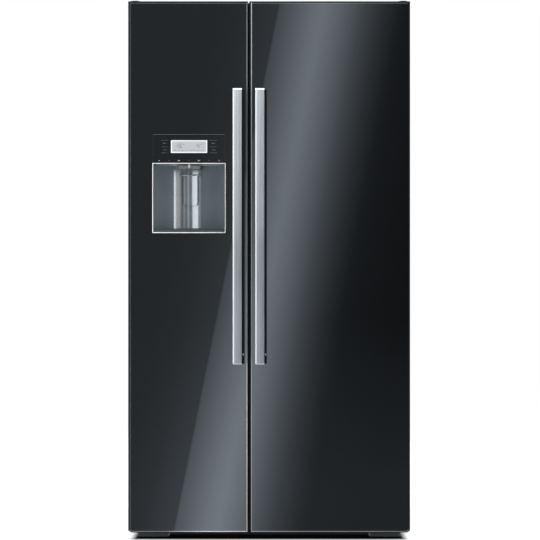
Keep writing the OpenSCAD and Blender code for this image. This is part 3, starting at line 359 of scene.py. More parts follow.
def toe_parts():
    """Each cover is a rounded upright wall on a hollow block; the grille is a frame with level slats."""
    low, high = limits("plinth")
    grille_half = limits("front_foot_right")[0][0] - 0.033
    cover = [(0.003, 0.004), (0.0004, 0.004), (0, 0.006), (0, 0.0225), (0.0006, 0.0245),
             (0.0025, 0.0268), (0.004, 0.0268), (0.004, 0.004)]
    cover = [(d, low[2] - 0.003 + h) for d, h in cover]
    for side, name in ((-1, "left"), (1, "right")):
        x = sorted((side * grille_half, side * high[0]))
        shape = rounded(x[0], x[1], low[1], low[1] + 0.062, 0.009)
        lid = rounded(x[0] + 0.003, x[1] - 0.003, low[1] + 0.003, low[1] + 0.059, 0.007)
        parts = [carried(shape, cover, joined=True),
                 carried(lid, [(0, low[2] + 0.020), (0, low[2] + 0.0228)])]
        make("foot_cover_" + name, parts, "case", slate, replaces="plinth")
    y = (low[1] + 0.019, low[1] + 0.0228)
    z = (low[2] + 0.005, high[2])
    edge = grille_half - 0.001
    parts = [block((-edge, edge), y, (z[0], z[0] + 0.007)), block((-edge, edge), y, (z[1] - 0.008, z[1]))]
    slats = np.linspace(z[0] + 0.011, z[1] - 0.013, 5)
    parts += [block((-edge, edge), y, (h, h + 0.003)) for h in slats]
    posts = np.linspace(-edge + 0.003, edge - 0.003, 23)
    parts += [block((p - 0.003, p + 0.003), (y[0] + 0.001, y[1] + 0.002), z) for p in posts]
    make("toe_grille", parts, "case", black_plastic, replaces="plinth")


toe_parts()

# ---------------------------------------------------------------- Hinge covers
# Black mouldings that snap over the upper hinge arms: a low dome on the case and a tongue that
# reaches forward over the door's pin.


def hinge_caps():
    """Each cap is two rounded outlines whose profile rises straight and then curls in to a flat top."""
    low, high = limits("hinge_covers")
    arm_top = limits("hinge_brackets")[1][2]
    case_front = limits("case_wrap")[0][1]
    pin_x = limits("fridge_door_frame")[1][0] - 0.020
    for side, name in ((-1, "left"), (1, "right")):
        near, far = side * pin_x - side * 0.022, side * high[0]
        x = sorted((near, far))
        dome = [(0.0005, low[2]), (0, low[2] + 0.0008), (0, high[2] - 0.006), (0.0008, high[2] - 0.003),
                (0.0028, high[2] - 0.001), (0.006, high[2] - 0.0001), (0.0075, high[2])]
        tongue = [(0.0002, arm_top + 0.0005), (0, arm_top + 0.0007), (0, arm_top + 0.0012),
                  (0.0004, arm_top + 0.0016), (0.0012, arm_top + 0.0018)]
        parts = [carried(rounded(x[0], x[1], case_front + 0.003, high[1], 0.008), dome),
                 carried(rounded(side * pin_x - 0.017, side * pin_x + 0.017, low[1],
                                 case_front + 0.012, 0.0165, 12), tongue)]
        make("hinge_cap_" + name, parts, "case", black_plastic,
             replaces="hinge_covers")
    gap = (limits("freezer_door_frame")[1][0] + limits("fridge_door_frame")[0][0]) / 2
    door_back = limits("fridge_door_gasket")[0][1]
    lid = [(0.0005, low[2]), (0, low[2] + 0.0008), (0, high[2] - 0.001), (0.0003, high[2] - 0.0003),
           (0.001, high[2])]
    shape = rounded(gap - 0.020, gap + 0.020, door_back + 0.002, case_front + 0.030, 0.003)
    make("middle_cap", [carried(shape, lid)], "case", black_plastic,
         replaces="hinge_covers")


hinge_caps()

# ----------------------------------------------------------------- Machine bay
# Hermetic compressor in black enamel on rubber feet, a finned condenser, its fan in a moulded shroud
# and the nylon inlet valve, all behind the vented cover.
enamel = finish("black_enamel", (0.012, 0.012, 0.013), 0.25, grain=(60, 60, 60), tone=0.2,
                relief=0.00005, sockets={"Coat Weight": 0.5, "Coat Roughness": 0.1})
coil_black = finish("coated_coil", (0.022, 0.022, 0.024), 0.5, 0.4, grain=(200, 200, 900), tone=0.2)
nylon_white = finish("white_nylon", (0.72, 0.72, 0.68), 0.5, grain=(300, 300, 300), tone=0.04)
duct_grey = finish("duct_moulding", (0.58, 0.61, 0.64), 0.42, grain=(500, 500, 500), tone=0.03,
                   relief=0.00002)
fin_metal = finish("bare_fins", (0.70, 0.71, 0.73), 0.35, 0.95, grain=(30, 400, 400), tone=0.1)
dress(enamel, "compressor")
dress(coil_black, "condenser")
dress(nylon_white, "water_valve")
dress(duct_grey, "air_ducts", "ice_maker")
dress(fin_metal, "evaporator")


def tube(path, radius, sides=10):
    """Round bar along a path. Each ring stands square to the path, turned from a side direction that
    stays clear of the path's own."""
    path = np.asarray(path, float)
    along = np.gradient(path, axis=0)
    along /= np.linalg.norm(along, axis=1)[:, None]
    guide = np.eye(3)[np.argmin(np.abs(along).max(0))]
    side = np.cross(along, guide)
    side /= np.linalg.norm(side, axis=1)[:, None]
    up = np.cross(along, side)
    angle = np.arange(sides) * 2 * np.pi / sides
    ring = side[:, None] * np.cos(angle)[None, :, None] + up[:, None] * np.sin(angle)[None, :, None]
    return loft(path[:, None] + radius * ring)


def fan(node, axis, blades):
    """Hub with blades. A blade is a grid over its radius and chord, whose pitch falls from the hub to
    the tip and whose chord is bowed by a parabola."""
    low, high = limits(node)
    mid = (low + high) / 2
    across = [k for k in range(3) if k != "xyz".index(axis)]
    tip = (high[across[1]] - low[across[1]]) / 2
    depth = high["xyz".index(axis)] - low["xyz".index(axis)]
    hub = 0.013
    s, c = np.linspace(0, 1, 12)[:, None], np.linspace(-1, 1, 9)[None, :]
    radius = hub - 0.002 + (tip * 0.985 - hub) * s
    pitch = np.radians(38 - 16 * s)
    chord = 0.0115 + 0.006 * s
    lean = c * chord
    along = np.clip(lean * np.sin(pitch) + 0.0015 * (1 - c ** 2), -depth * 0.44, depth * 0.44)
    turn = lean * np.cos(pitch) / radius + 0.25 * s
    parts = []
    for blade in range(blades):
        angle = turn + blade * 2 * np.pi / blades
        a, b = radius * np.cos(angle), radius * np.sin(angle)
        sheets = []
        for h in (along + 0.0006, along - 0.0006):
            sheets.append(np.stack({"x": (h, a, b), "y": (a, h, b)}[axis], -1))
        points, blocks = closed_sheet(*sheets)
        parts.append((points + mid, blocks))
    half = min(0.007, depth * 0.45)
    nose = [(0, -half), (hub - 0.003, -half), (hub, -half + 0.003), (hub, half - 0.001),
            (hub - 0.001, half), (0, half)]
    parts.append(stamp(turned(nose, axis, 36), [mid]))
    make(node + "_wheel", parts, node, fan_grey, replaces=node)


fan_grey = finish("fan_moulding", (0.10, 0.105, 0.11), 0.45, grain=(500, 500, 500), tone=0.06)
fan("condenser_fan", "x", 5)
fan("evaporator_fan", "y", 5)


def bay_piping():
    """Copper line from compressor to condenser: a smooth bend through a few chosen points, filled in
    by a Catmull-Rom curve."""
    can_low, can_high = limits("compressor")
    coil_low, coil_high = limits("condenser")
    mid_y = (can_low[1] + can_high[1]) / 2
    copper = finish("drawn_copper", (0.62, 0.30, 0.18), 0.3, 0.95, grain=(200, 200, 200), tone=0.18,
                    polish=0.12)
    p = np.array([
        (can_low[0] + 0.026, mid_y, can_low[2] + 0.074), (can_low[0] - 0.03, mid_y, can_low[2] + 0.074),
        (can_low[0] - 0.06, mid_y - 0.03, can_low[2] + 0.10),
        (can_low[0] - 0.075, coil_low[1] + 0.02, can_low[2] + 0.135),
        (coil_high[0] + 0.03, coil_low[1] + 0.008, coil_high[2] - 0.012),
        (coil_high[0] - 0.01, coil_low[1] + 0.012, coil_high[2] - 0.012)])
    p = np.concatenate([[2 * p[0] - p[1]], p, [2 * p[-1] - p[-2]]])
    t = np.linspace(0, 1, 10, endpoint=False)[None, :, None]
    a, b, c, d = (p[k:len(p) - 3 + k][:, None] for k in range(4))
    curve = 0.5 * (2 * b + (c - a) * t + (2 * a - 5 * b + 4 * c - d) * t ** 2
                   + (3 * b - a - 3 * c + d) * t ** 3)
    line = np.concatenate([curve.reshape(-1, 3), p[-2:-1]])
    make("copper_line_1", [tube(line, 0.0032, 12)], "case", copper)


bay_piping()

# ----------------------------------------------------- Shelves and their trims
# Toughened clear glass on the liner's ledges, each with a satin silver extrusion along its front.


def clear_finish(name, colour, alpha, roughness):
    """See-through material: the alpha rises towards grazing views, as in clear plastic and glass."""
    material = finish(name, colour, roughness, grain=(80, 80, 80), tone=0.03, polish=0.02)
    tree = material.node_tree
    rim = put(tree, "LayerWeight", {"Blend": 0.35})
    span = put(tree, "MapRange", {"Value": rim.outputs["Facing"], "To Min": alpha,
                                  "To Max": min(1.0, alpha + 0.5)})
    feed(tree.nodes["Principled BSDF"], {"Alpha": span.outputs["Result"]})
    return material


shelf_glass = clear_finish("toughened_glass", (0.70, 0.86, 0.82), 0.22, 0.04)
dress(shelf_glass, "shelf_panes")
trim_silver = finish("satin_trim", (0.58, 0.60, 0.62), 0.3, 0.7, grain=(20, 600, 600), tone=0.05)


def shelf_fronts():
    """Extrusion on each shelf: a rounded section in the YZ plane, drawn the width of the shelf."""
    points = np.array([v.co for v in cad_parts["shelf_trims"].data.vertices])
    levels = np.unique(np.round(points[:, 2], 4))[::2]
    parts = []
    for level in levels:
        for inside in ("freezer_liner", "fridge_liner"):
            low, high = limits(inside)
            here = points[(np.abs(points[:, 2] - level) < 0.001) & (points[:, 0] > low[0])
                          & (points[:, 0] < high[0])]
            if not len(here):
                continue
            x0, x1 = here[:, 0].min(), here[:, 0].max()
            y0, y1 = here[:, 1].min(), here[:, 1].max()
            top = level + 0.0108
            section = rounded(y0, y1, level, top, 0.0035)
            parts.append(carried(section, [(0.0008, x0), (0, x0 + 0.0008), (0, x1 - 0.0008),
                                           (0.0008, x1)], "yz"))
            bead = rounded(y0, y0 + 0.004, top - 0.004, top, 0.0019)
            parts.append(carried(bead, [(0, x0 + 0.004), (0, x1 - 0.004)], "yz"))
    make("shelf_fronts", parts, "case", trim_silver, replaces="shelf_trims")


shelf_fronts()

# -------------------------------------------------------------- Ceiling lights
# Frosted lamp covers, one in each compartment, softly domed and ribbed across.
lamp = finish("frosted_lamp", (0.90, 0.90, 0.87), 0.35, grain=(200, 200, 200), tone=0.02,
              sockets={"Emission Color": (1.0, 0.97, 0.90, 1), "Emission Strength": 0.6})


def lamp_covers():
    """Two lofted covers that hang from the ceiling: a straight wall that curls in to a flat face."""
    low, high = limits("interior_lights")
    parts = []
    for inside in ("freezer_liner", "fridge_liner"):
        box_low, box_high = limits(inside)
        mid = (box_low[0] + box_high[0]) / 2
        face = [(0, high[2]), (0, low[2] + 0.006), (0.001, low[2] + 0.0025), (0.004, low[2] + 0.0004),
                (0.008, low[2])]
        parts.append(carried(rounded(mid - 0.060, mid + 0.060, low[1], high[1], 0.012), face))
    make("lamp_covers", parts, "case", lamp, replaces="interior_lights")


lamp_covers()

# ------------------------------------------------ Ice maker, ice bin and auger
# Ice is ejected into a clear bin under the maker, and a steel spiral pushes it forward to the
# opening over the chute in the freezer door.
clear_plastic = clear_finish("clear_moulding", (0.80, 0.90, 0.95), 0.20, 0.06)
bright_steel = finish("bright_wire", (0.66, 0.67, 0.69), 0.22, 1.0, grain=(300, 300, 300), tone=0.08,
                      polish=0.08)
dress(bright_steel, "ice_ejector")


def tray_profile(z0, z1, wall, lip):
    """Profile of an open tray: out along the bottom, up the outside, over a rolled lip, down the inside
    and in along the floor. Each entry is (inset, level)."""
    return [(0.012, z0), (0.004, z0), (0.0012, z0 + 0.0012), (0.0004, z0 + 0.004),
            (0.0004, z1 - lip), (0, z1 - lip + 0.0006), (0, z1 - 0.0006), (0.0006, z1),
            (wall + 0.0006, z1), (wall + 0.0012, z1 - 0.0006), (wall, z1 - lip),
            (wall, z0 + wall + 0.004), (wall + 0.0012, z0 + wall + 0.0012), (wall + 0.004, z0 + wall),
            (0.012, z0 + wall)]


def ice_parts():
    """The bin is a tray with a hollow nose at its front. The spiral is a bar along a helix on a shaft."""
    low, high = limits("ice_bin")
    auger_low, auger_high = limits("ice_auger")
    auger = (auger_low + auger_high) / 2
    front = low[1] + 0.020
    body = rounded(low[0], high[0], front, high[1], 0.014)
    nose = rounded(auger[0] - 0.034, auger[0] + 0.034, low[1], front + 0.004, 0.0045)
    nose_walls = [(0, low[2]), (0, low[2] + 0.071), (0.004, low[2] + 0.071), (0.003, low[2] + 0.068),
                  (0.003, low[2])]
    parts = [carried(body, tray_profile(low[2], high[2], 0.003, 0.008)),
             carried(nose, nose_walls, joined=True)]
    ribs = np.linspace(front + 0.05, high[1] - 0.05, 6)
    for x in (low[0] + 0.0035, high[0] - 0.0035):
        parts += [block((x - 0.001, x + 0.001), (y - 0.001, y + 0.001), (low[2] + 0.008, high[2] - 0.012))
                  for y in ribs]
    make("ice_bin_shell", parts, "case", clear_plastic, replaces="ice_bin")
    y0, y1 = auger_low[1] + 0.012, auger_high[1] - 0.020
    turns, r = 6.0, (auger_high[2] - auger_low[2]) / 2 - 0.0035
    t = np.linspace(0, 1, 289)
    swell = r * np.clip(np.minimum(t, 1 - t) * 24, 0.25, 1)
    angle = 2 * np.pi * turns * t
    helix = np.stack([auger[0] + swell * np.cos(angle), y0 + (y1 - y0) * t,
                      auger[2] + swell * np.sin(angle)], 1)
    shaft = [(0, auger_low[1]), (0.004, auger_low[1]), (0.005, auger_low[1] + 0.001),
             (0.005, auger_high[1] - 0.001), (0.004, auger_high[1]), (0, auger_high[1])]
    parts = [tube(helix, 0.003, 10), stamp(turned(shaft, "y", 24), [(auger[0], 0, auger[2])])]
    make("ice_spiral", parts, "ice_auger", bright_steel, replaces="ice_auger")


ice_parts()

# --------------------------------------------------------------------- Drawers
# Clear injection-moulded drawers that slide on the liner's floor and ledges. Each has a rolled lip, a
# pull along the top of its front and stiffening ribs down its sides.


def drawer(node, level_ribs):
    """Tray with a curled pull in front: the pull's section is a rounded hook drawn across the drawer."""
    low, high = limits(node)
    x, y, z = zip(low, high)
    shape = rounded(x[0], x[1], y[0] + 0.004, y[1], 0.016)
    parts = [carried(shape, tray_profile(z[0], z[1], 0.003, 0.010))]
    pull = rounded(y[0], y[0] + 0.010, z[1] - 0.030, z[1] - 0.004, 0.0045)
    parts.append(carried(pull, [(0.002, x[0] + 0.020), (0, x[0] + 0.022), (0, x[1] - 0.022),
                                (0.002, x[1] - 0.020)], "yz"))
    for h in np.linspace(z[0] + 0.03, z[1] - 0.05, level_ribs):
        parts.append(block((x[0] + 0.03, x[1] - 0.03), (y[0] + 0.0030, y[0] + 0.0048), (h, h + 0.003)))
    for yy in np.linspace(y[0] + 0.07, y[1] - 0.05, 5):
        for xx in (x[0] + 0.0036, x[1] - 0.0036):
            parts.append(block((xx - 0.0012, xx + 0.0012), (yy - 0.0015, yy + 0.0015),
                               (z[0] + 0.01, z[1] - 0.014)))
    make(node + "_shell", parts, node, clear_plastic, replaces=node)


for compartment in ("fridge", "freezer"):
    drawer(compartment + "_drawer_lower", 2)
    drawer(compartment + "_drawer_upper", 2)

# ---------------------------------------------------------------- Door shells
# Painted metal edges with moulded caps top and bottom; the hinge pins turn in the caps. The paint is
# a dark blue-green that shows as a thin line round each glass front.
door_edge = finish("door_edge_paint", (0.0022, 0.0032, 0.0038), 0.40, grain=(400, 400, 400),
                   tone=0.1, sockets={"Specular IOR Level": 0.12})
dress(door_edge, "freezer_door_frame", "fridge_door_frame")

# ----------------------------------------------------------------- Door glass
# Four millimetre toughened glass, black-backed, glued into each door shell. Its ground facet carries
# painted reflections: pale along the gap and the foot, graded along their length, and painted dark with
# a painted highlight line inside it along the top and the hinge side. A painted shade strip runs down
# the fridge door's facet along the gap.
black_glass = finish("black_backed_glass", (0.0022, 0.0026, 0.0031), 0.012, grain=(3, 3, 6),
                     tone=0.10, polish=0.006, relief=0.000006, sockets={"IOR": 2.2})
FACET_W = 0.0030
# Width of the painted shade strip along the fridge door's gap side.
GAP_SHADE_W = 0.0033


def ramp(tree, share, stops, tint=(1, 1, 1)):
    """Colour ramp over a share from 0 to 1: stops are (share, grey), in rising order."""
    node = put(tree, "ValToRGB", {"Fac": share})
    marks = node.color_ramp.elements
    marks.remove(marks[1])
    for place, grey in stops:
        mark = marks.new(place) if place else marks[0]
        mark.color = [*(grey * t for t in tint), 1]
    return node.outputs["Color"]


def along(material, axis, stops, tint=(1, 1, 1)):
    """Grey that follows one Object coordinate of a material: stops are (metres, grey)."""
    tree = material.node_tree
    part = put(tree, "SeparateXYZ", {"Vector": tree.nodes["Texture Coordinate"].outputs["Object"]})
    first, last = stops[0][0], stops[-1][0]
    span = put(tree, "MapRange", {"Value": part.outputs[axis], "From Min": first, "From Max": last})
    shares = [((place - first) / (last - first), grey) for place, grey in stops]
    return ramp(tree, span.outputs["Result"], shares, tint)


def painted_light_grade(name, axis, stops, tint=(0.95, 1.0, 1.03)):
    """Plain glossy material whose grey follows one Object coordinate; it paints light and shade along a
    part.
    """
    material = finish(name, (0.2, 0.2, 0.2), 0.3, grain=(500, 500, 500), sockets={"IOR": 1.5})
    shader = material.node_tree.nodes["Principled BSDF"]
    feed(shader, {"Base Color": along(material, axis, stops, tint)})
    return material


# Painted reflections and shade on the glass edges: each facet's grey is set per edge and, at the foot and
# sides, graded along X or Z; the line is a painted highlight, the rim and the gap strip painted shade.
painted_facets = [painted_light_grade("facet_foot_painted_reflection", "X", [(-0.455, 0.16), (-0.335, 0.18), (-0.275, 0.50), (-0.20, 0.75),
                                     (-0.07, 0.56), (-0.05, 0.32), (0.10, 0.22), (0.33, 0.20),
                                     (0.45, 0.13)]),
          painted_light_grade("facet_side", "Z", [(0.03, 0.42), (0.75, 0.48), (1.1, 0.30), (1.7, 0.18)]),
          painted_light_grade("facet_side_painted_highlight", "Z", [(0.03, 0.22), (0.4, 0.30), (1.1, 0.34), (1.7, 0.48)]),
          finish("facet_painted_highlight_line", (0.062, 0.072, 0.077), 0.012, grain=(60, 60, 60), sockets={"IOR": 2.2}),
          finish("facet_rim_painted_shade", (0.010, 0.012, 0.015), 0.5, grain=(60, 60, 60),
                 sockets={"Specular IOR Level": 0.05}),
          finish("gap_painted_shade", (0.0012, 0.0015, 0.0020), 0.6, sockets={"Specular IOR Level": 0.05})]
PLAIN, FOOT, SIDE, SIDE_BRIGHT, LINE, RIM, GAP_SHADE = range(7)


def glass_front(node, door, hinge_side):
    """Rings of five points: the door's outline with its cut corner, repeated for the front face, the
    painted highlight line, the facet, the edge and the back, and for the freezer door also the dispenser's
    opening. The fridge door's facet stops short of the gap to leave the painted shade strip."""
    low, high = limits(node)
    cut_w, cut_h = 0.010, 0.007
    x, y, z = zip(low, high)
    if hinge_side < 0:
        corners = [(x[1], z[0]), (x[1], z[1]), (x[0], z[1]), (x[0], z[0] + cut_h), (x[0] + cut_w, z[0])]
        edge = [PLAIN, LINE, LINE, PLAIN, PLAIN, SIDE, RIM, RIM, FOOT, FOOT]
    else:
        edge = [PLAIN, PLAIN, PLAIN, LINE, PLAIN, FOOT, FOOT, RIM, RIM, SIDE_BRIGHT]
        corners = [(x[0], z[0]), (x[1] - cut_w, z[0]), (x[1], z[0] + cut_h), (x[1], z[1]), (x[0], z[1])]
    outline = np.array(corners)
    steps = [(2 * FACET_W, y[0]), (FACET_W, y[0]), (0.0001, y[0] + 0.0014), (0, y[0] + 0.0016),
             (0, y[1])]
    rings = []
    for d, level in steps:
        ring = inset(outline, d)
        # On the fridge door the facet rings step in off the gap side, leaving the painted shade strip.
        if hinge_side > 0 and d > 0:
            ring[[0, 4], 0] += GAP_SHADE_W
        rings.append(np.insert(ring, 1, level, axis=1))
    rows = [*edge, *[PLAIN] * 4, GAP_SHADE if hinge_side > 0 else PLAIN, *[PLAIN] * 5]
    if hinge_side < 0:
        cut_low, cut_high = limits("dispenser_frame")
        panel_top = limits("control_panel")[1][2]
        lap = 0.002
        hole = np.array([(cut_high[0] - lap, cut_low[2] + lap), (cut_high[0] - lap, panel_top),
                         (cut_low[0] + lap, panel_top), (cut_low[0] + lap, cut_low[2] + lap),
                         (cut_low[0] + lap, cut_low[2] + lap)])
        rings = [np.insert(hole, 1, y[0], axis=1), *rings, np.insert(hole, 1, y[1], axis=1)]
        points, blocks = loft(np.stack(rings), joined=True)
        tags = np.concatenate([[PLAIN] * 5, rows, [PLAIN] * 10])
    else:
        points, blocks = loft(np.stack(rings))
        tags = np.concatenate([rows, [PLAIN] * 2])
    make(door + "_glass_front", [(points, blocks, tags)], door, [black_glass, *painted_facets],
         sharp=5, replaces=node)


glass_front("freezer_door_glass", "freezer_door", -1)
glass_front("fridge_door_glass", "fridge_door", 1)

# --------------------------------------------------------------------- Seals
# Soft grey magnetic seals pressed into a groove round each door's inner face. The section has a flat
# magnet pocket against the case and two folds of bellows behind it.
seal = finish("seal_vinyl", (0.10, 0.105, 0.11), 0.6, grain=(900, 900, 900), tone=0.08,
              relief=0.00002)


def door_seal(node, door):
    """Bellows section carried round the opening; a crease on each side is a pinch in the inset."""
    low, high = limits(node)
    d0, d1 = low[1], high[1]
    depth = d1 - d0
    w = 0.014
    outline = rounded(low[0], high[0], low[2], high[2], 0.012)
    section = [(0.0030, d0), (0.0018, d0 + 0.25 * depth), (0.0045, d0 + 0.40 * depth),
               (0.0010, d0 + 0.55 * depth), (0.0003, d0 + 0.70 * depth), (0.0003, d0 + 0.92 * depth),
               (0.0012, d1 - 0.0002), (w - 0.0030, d1 - 0.0002), (w - 0.0020, d0 + 0.90 * depth),
               (w - 0.0020, d0 + 0.70 * depth), (w - 0.0050, d0 + 0.55 * depth),
               (w - 0.0025, d0 + 0.40 * depth), (w - 0.0040, d0 + 0.25 * depth), (w - 0.0030, d0)]
    make(door + "_seal", [carried(outline, section, "xz", joined=True)], door, seal,
         replaces=node)


door_seal("freezer_door_gasket", "freezer_door")
door_seal("fridge_door_gasket", "fridge_door")

# ------------------------------------------------------------- Handles
# Extruded aluminium bars, brushed lengthways and anodised, on black moulded brackets that show as a
# dark strip beside each bar. A small screw near the lower foot holds each bar. The bars carry painted
# light: they are painted darker towards the bottom, and their left facet and sloped ends take a brighter
# copy of the metal as a painted highlight.


def brushed(name, colour, roughness, grain, blur, tone=0.10, stretch=0.7, metallic=1.0):
    """Brushed metal: noise drawn out along the brush lines, and a highlight spread along blur."""
    material = finish(name, colour, roughness, metallic, grain=grain, tone=tone, relief=0.00001,
                      sockets={"Anisotropic": stretch})
    spread = put(material.node_tree, "CombineXYZ", dict(zip("XYZ", blur)))
    feed(material.node_tree.nodes["Principled BSDF"], {"Tangent": spread.outputs["Vector"]})
    return material


# The second material is a brighter copy of the first: a painted highlight for the bar's left facet and
# ends.
handle_metal = brushed("anodised_bar_painted_light", (0.68, 0.72, 0.76), 0.32, (800, 800, 6), (1, 0, 0), tone=0.20)
handle_painted_highlight = brushed("anodised_painted_highlight", (0.93, 0.95, 0.96), 0.30, (800, 800, 6), (1, 0, 0), tone=0.05)


def painted_light_fade(material, stops):
    """Painted light: multiplies a brushed colour by a grey that follows the height, so the bar is painted
    brighter towards the top. Stops are (metres, grey).
    """
    tree = material.node_tree
    mixed = put(tree, "Mix", {0: 1.0, 6: tree.nodes["Color Ramp"].outputs["Color"],
                              7: along(material, "Z", stops)}, data_type="RGBA", blend_type="MULTIPLY")
    feed(tree.nodes["Principled BSDF"], {"Base Color": mixed.outputs[2]})


# Painted light down the bars: full brightness at the top, about half at the bottom.
painted_light_fade(handle_metal, [(0.58, 0.48), (0.95, 0.47), (1.10, 0.66), (1.28, 0.76),
                         (1.38, 0.85), (1.46, 1.0)])
painted_light_fade(handle_painted_highlight, [(0.58, 0.80), (0.95, 0.80), (1.46, 1.0)])


def handle(node, door):
    """Section with a shallow facet down its left, carried up the bar. Near each end the front face
    slopes back at 45 degrees: every point nearer the front than the slope is moved on to it."""
    low, high = limits(node)
    x0, x1, y0, y1 = low[0], high[0], low[1], high[1]
    outline = np.array([(x1, y0 + 0.0012), (x1, y1 - 0.0008), (x1 - 0.0008, y1), (x0 + 0.0008, y1),
                        (x0, y1 - 0.0008), (x0, y0 + 0.0018), (x0 + 0.0007, y0 + 0.00066),
                        (x0 + 0.0046, y0), (x1 - 0.0010, y0 + 0.0001)])
    slope = 0.0040
    rings = []
    for back, level in ((slope + 0.0008, low[2]), (slope - 0.0006, low[2] + 0.0004), (0, low[2] + slope),
                        (0, high[2] - slope), (slope - 0.0006, high[2] - 0.0004),
                        (slope + 0.0008, high[2])):
        ring = outline.copy()
        ring[:, 1] = np.maximum(ring[:, 1], y0 + back)
        rings.append(np.insert(ring, 2, level, axis=1))
    points, blocks = loft(np.stack(rings))
    # Tag 1 marks the left facet and the sloped ends, which take the painted highlight.
    tags = np.ones((5, len(outline)), int)
    tags[2, [0, 1, 2, 3, 4, 7, 8]] = 0
    make(door + "_handle", [(points, blocks, np.append(tags.ravel(), [1, 1]))], door,
         [handle_metal, handle_painted_highlight], sharp=12, replaces=node)
    strip_low, strip_high = limits(node.replace("bar", "bracket"))
    spot = ((high[0] + strip_high[0]) / 2, strip_low[1], strip_low[2] + 0.030)
    head = turned([(0, 0.0004), (0.0010, 0.0004), (0.0014, -0.0008), (0.0024, -0.0006),
                   (0.0030, 0.0002), (0.0030, 0.0010), (0, 0.0010)], "y", 20)
    make(door + "_handle_screw", [stamp(head, [spot])], door, screw_cap)


screw_cap = finish("screw_cap", (0.50, 0.53, 0.55), 0.35, 0.2, grain=(900, 900, 900))
handle("freezer_handle_bar", "freezer_door")
handle("fridge_handle_bar", "fridge_door")
bracket_black = finish("bracket_moulding", (0.004, 0.005, 0.006), 0.45, grain=(700, 700, 200),
                       tone=0.15, sockets={"Specular IOR Level": 0.15})
dress(bracket_black, "freezer_handle_bracket", "fridge_handle_bracket")

# ------------------------------------------------------------------ Door bins
# Clear moulded bins hooked between the raised rims of the inner doors. The dairy bin at the top of
# the larder door has a hinged lid.


def door_bins(node, door):
    """Every bin is a tray with rounded corners, its front stiffened by two level ribs."""
    points = np.array([v.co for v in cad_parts[node].data.vertices])
    low, high = limits(node)
    levels = np.unique(np.round(points[:, 2], 4))
    pairs = np.diff(levels)
    floors = [z for z, gap in zip(levels, pairs) if abs(gap - 0.003) < 0.0002]
    tall = levels[2] - levels[0]
    parts = []
    for z0 in floors:
        shape = rounded(low[0], high[0], low[1], high[1], 0.012)
        parts.append(carried(shape, tray_profile(z0, z0 + tall, 0.003, 0.007)))
        for share in (0.35, 0.7):
            h = z0 + tall * share
            parts.append(block((low[0] + 0.02, high[0] - 0.02), (high[1] - 0.0012, high[1] - 0.0001),
                               (h, h + 0.0025), 0.0003))
    make(door + "_bins", parts, door, clear_plastic, replaces=node)


door_bins("freezer_door_bins", "freezer_door")
door_bins("fridge_door_bins", "fridge_door")
dress(clear_finish("lid_moulding", (0.78, 0.90, 0.94), 0.35, 0.08), "dairy_lid")

# ------------------------------------------------------------ Dispenser frame
# Bright drawn-steel frame round the recess: a narrow flange on the glass, softly rounded, with a
# collar behind it. Its rounded edges, its collar and a thin ring round it on the glass are matte black:
# a painted shade line round the frame.
frame_metal = brushed("frame_steel", (0.93, 0.95, 0.96), 0.30, (40, 40, 40), (1, 0, 0), stretch=0.3,
                      metallic=0.3)
dark_outline = finish("dark_outline", (0.0012, 0.0016, 0.0020), 0.6, grain=(900, 900, 900),
                     sockets={"Specular IOR Level": 0.05})


def recess_frame():
    """Closed section carried round the opening: crowned flange in front, straight collar behind."""
    low, high = limits("dispenser_frame")
    bar, lap = 0.005, 0.002
    y0, y1 = low[1], high[1]
    outline = rounded(low[0], high[0], low[2], high[2], 0.0015, 2)
    section = [(0, y0 + 0.0011), (0, y0 + 0.0006), (0.0005, y0 + 0.0003), (0.0009, y0),
               (bar - 0.0012, y0), (bar - 0.0008, y0 + 0.0004), (bar, y0 + 0.0012), (bar, y1),
               (lap, y1), (lap, y0 + 0.0011)]
    points, blocks = frame_ring(outline, section)
    # Only the flat front face is steel; the rest of the section takes the matte black painted shade.
    tags = np.repeat([1, 1, 1, 0, 1, 1, 1, 1, 1, 1], 4)
    make("recess_frame", [(points, blocks, tags)], "freezer_door", [frame_metal, dark_outline],
         sharp=50, replaces="dispenser_frame")
    # Thin black ring on the glass just outside the frame: painted shade.
    collar = [(-0.0020, y0 + 0.0011), (-0.0020, y0 + 0.0008), (0, y0 + 0.0008), (0, y0 + 0.0011)]
    make("recess_shade_ring", [frame_ring(outline, collar)], "freezer_door", dark_outline)


def frame_ring(outline, section):
    """Like carried, but for an outline with nearly square corners: the insets come from its box."""
    low, high = outline.min(0), outline.max(0)
    rings = []
    for d, level in section:
        square = np.array([(high[0] - d, low[1] + d), (high[0] - d, high[1] - d),
                           (low[0] + d, high[1] - d), (low[0] + d, low[1] + d)])
        rings.append(np.insert(square, 1, level, axis=1))
    return loft(np.stack(rings), joined=True)


recess_frame()

# ----------------------------------------------------------- Dispenser recess
# Half-round hollow rolled from brushed stainless steel, with a flat roof and floor. The brushing runs
# round the curve, so each lamp in the room draws an upright band of light on it. The wall's sides take
# a darker, rougher copy of the same steel as painted shade.
recess_metal = brushed("recess_steel", (0.35, 0.385, 0.405), 0.17, (30, 30, 900), (0, 0, 1),
                       tone=0.06, stretch=0.8, metallic=0.6)
# Darker copy of the recess steel for the wall's sides: painted shade.
recess_side_painted_shade = brushed("recess_side_painted_shade", (0.150, 0.185, 0.200), 0.40, (30, 30, 900), (0, 0, 1), tone=0.06,
                      metallic=0.1)
recess_roof = finish("recess_roof", (0.42, 0.48, 0.51), 0.4, 0.2, grain=(600, 600, 600))


def recess_arc():
    """Radius of the hollow's outer face and the depth of its centre, from its width and depth."""
    low, high = limits("dispenser_hollow")
    half, depth = (high[0] - low[0]) / 2, high[1] - low[1]
    radius = (half ** 2 + depth ** 2) / (2 * depth)
    return radius, high[1] - radius


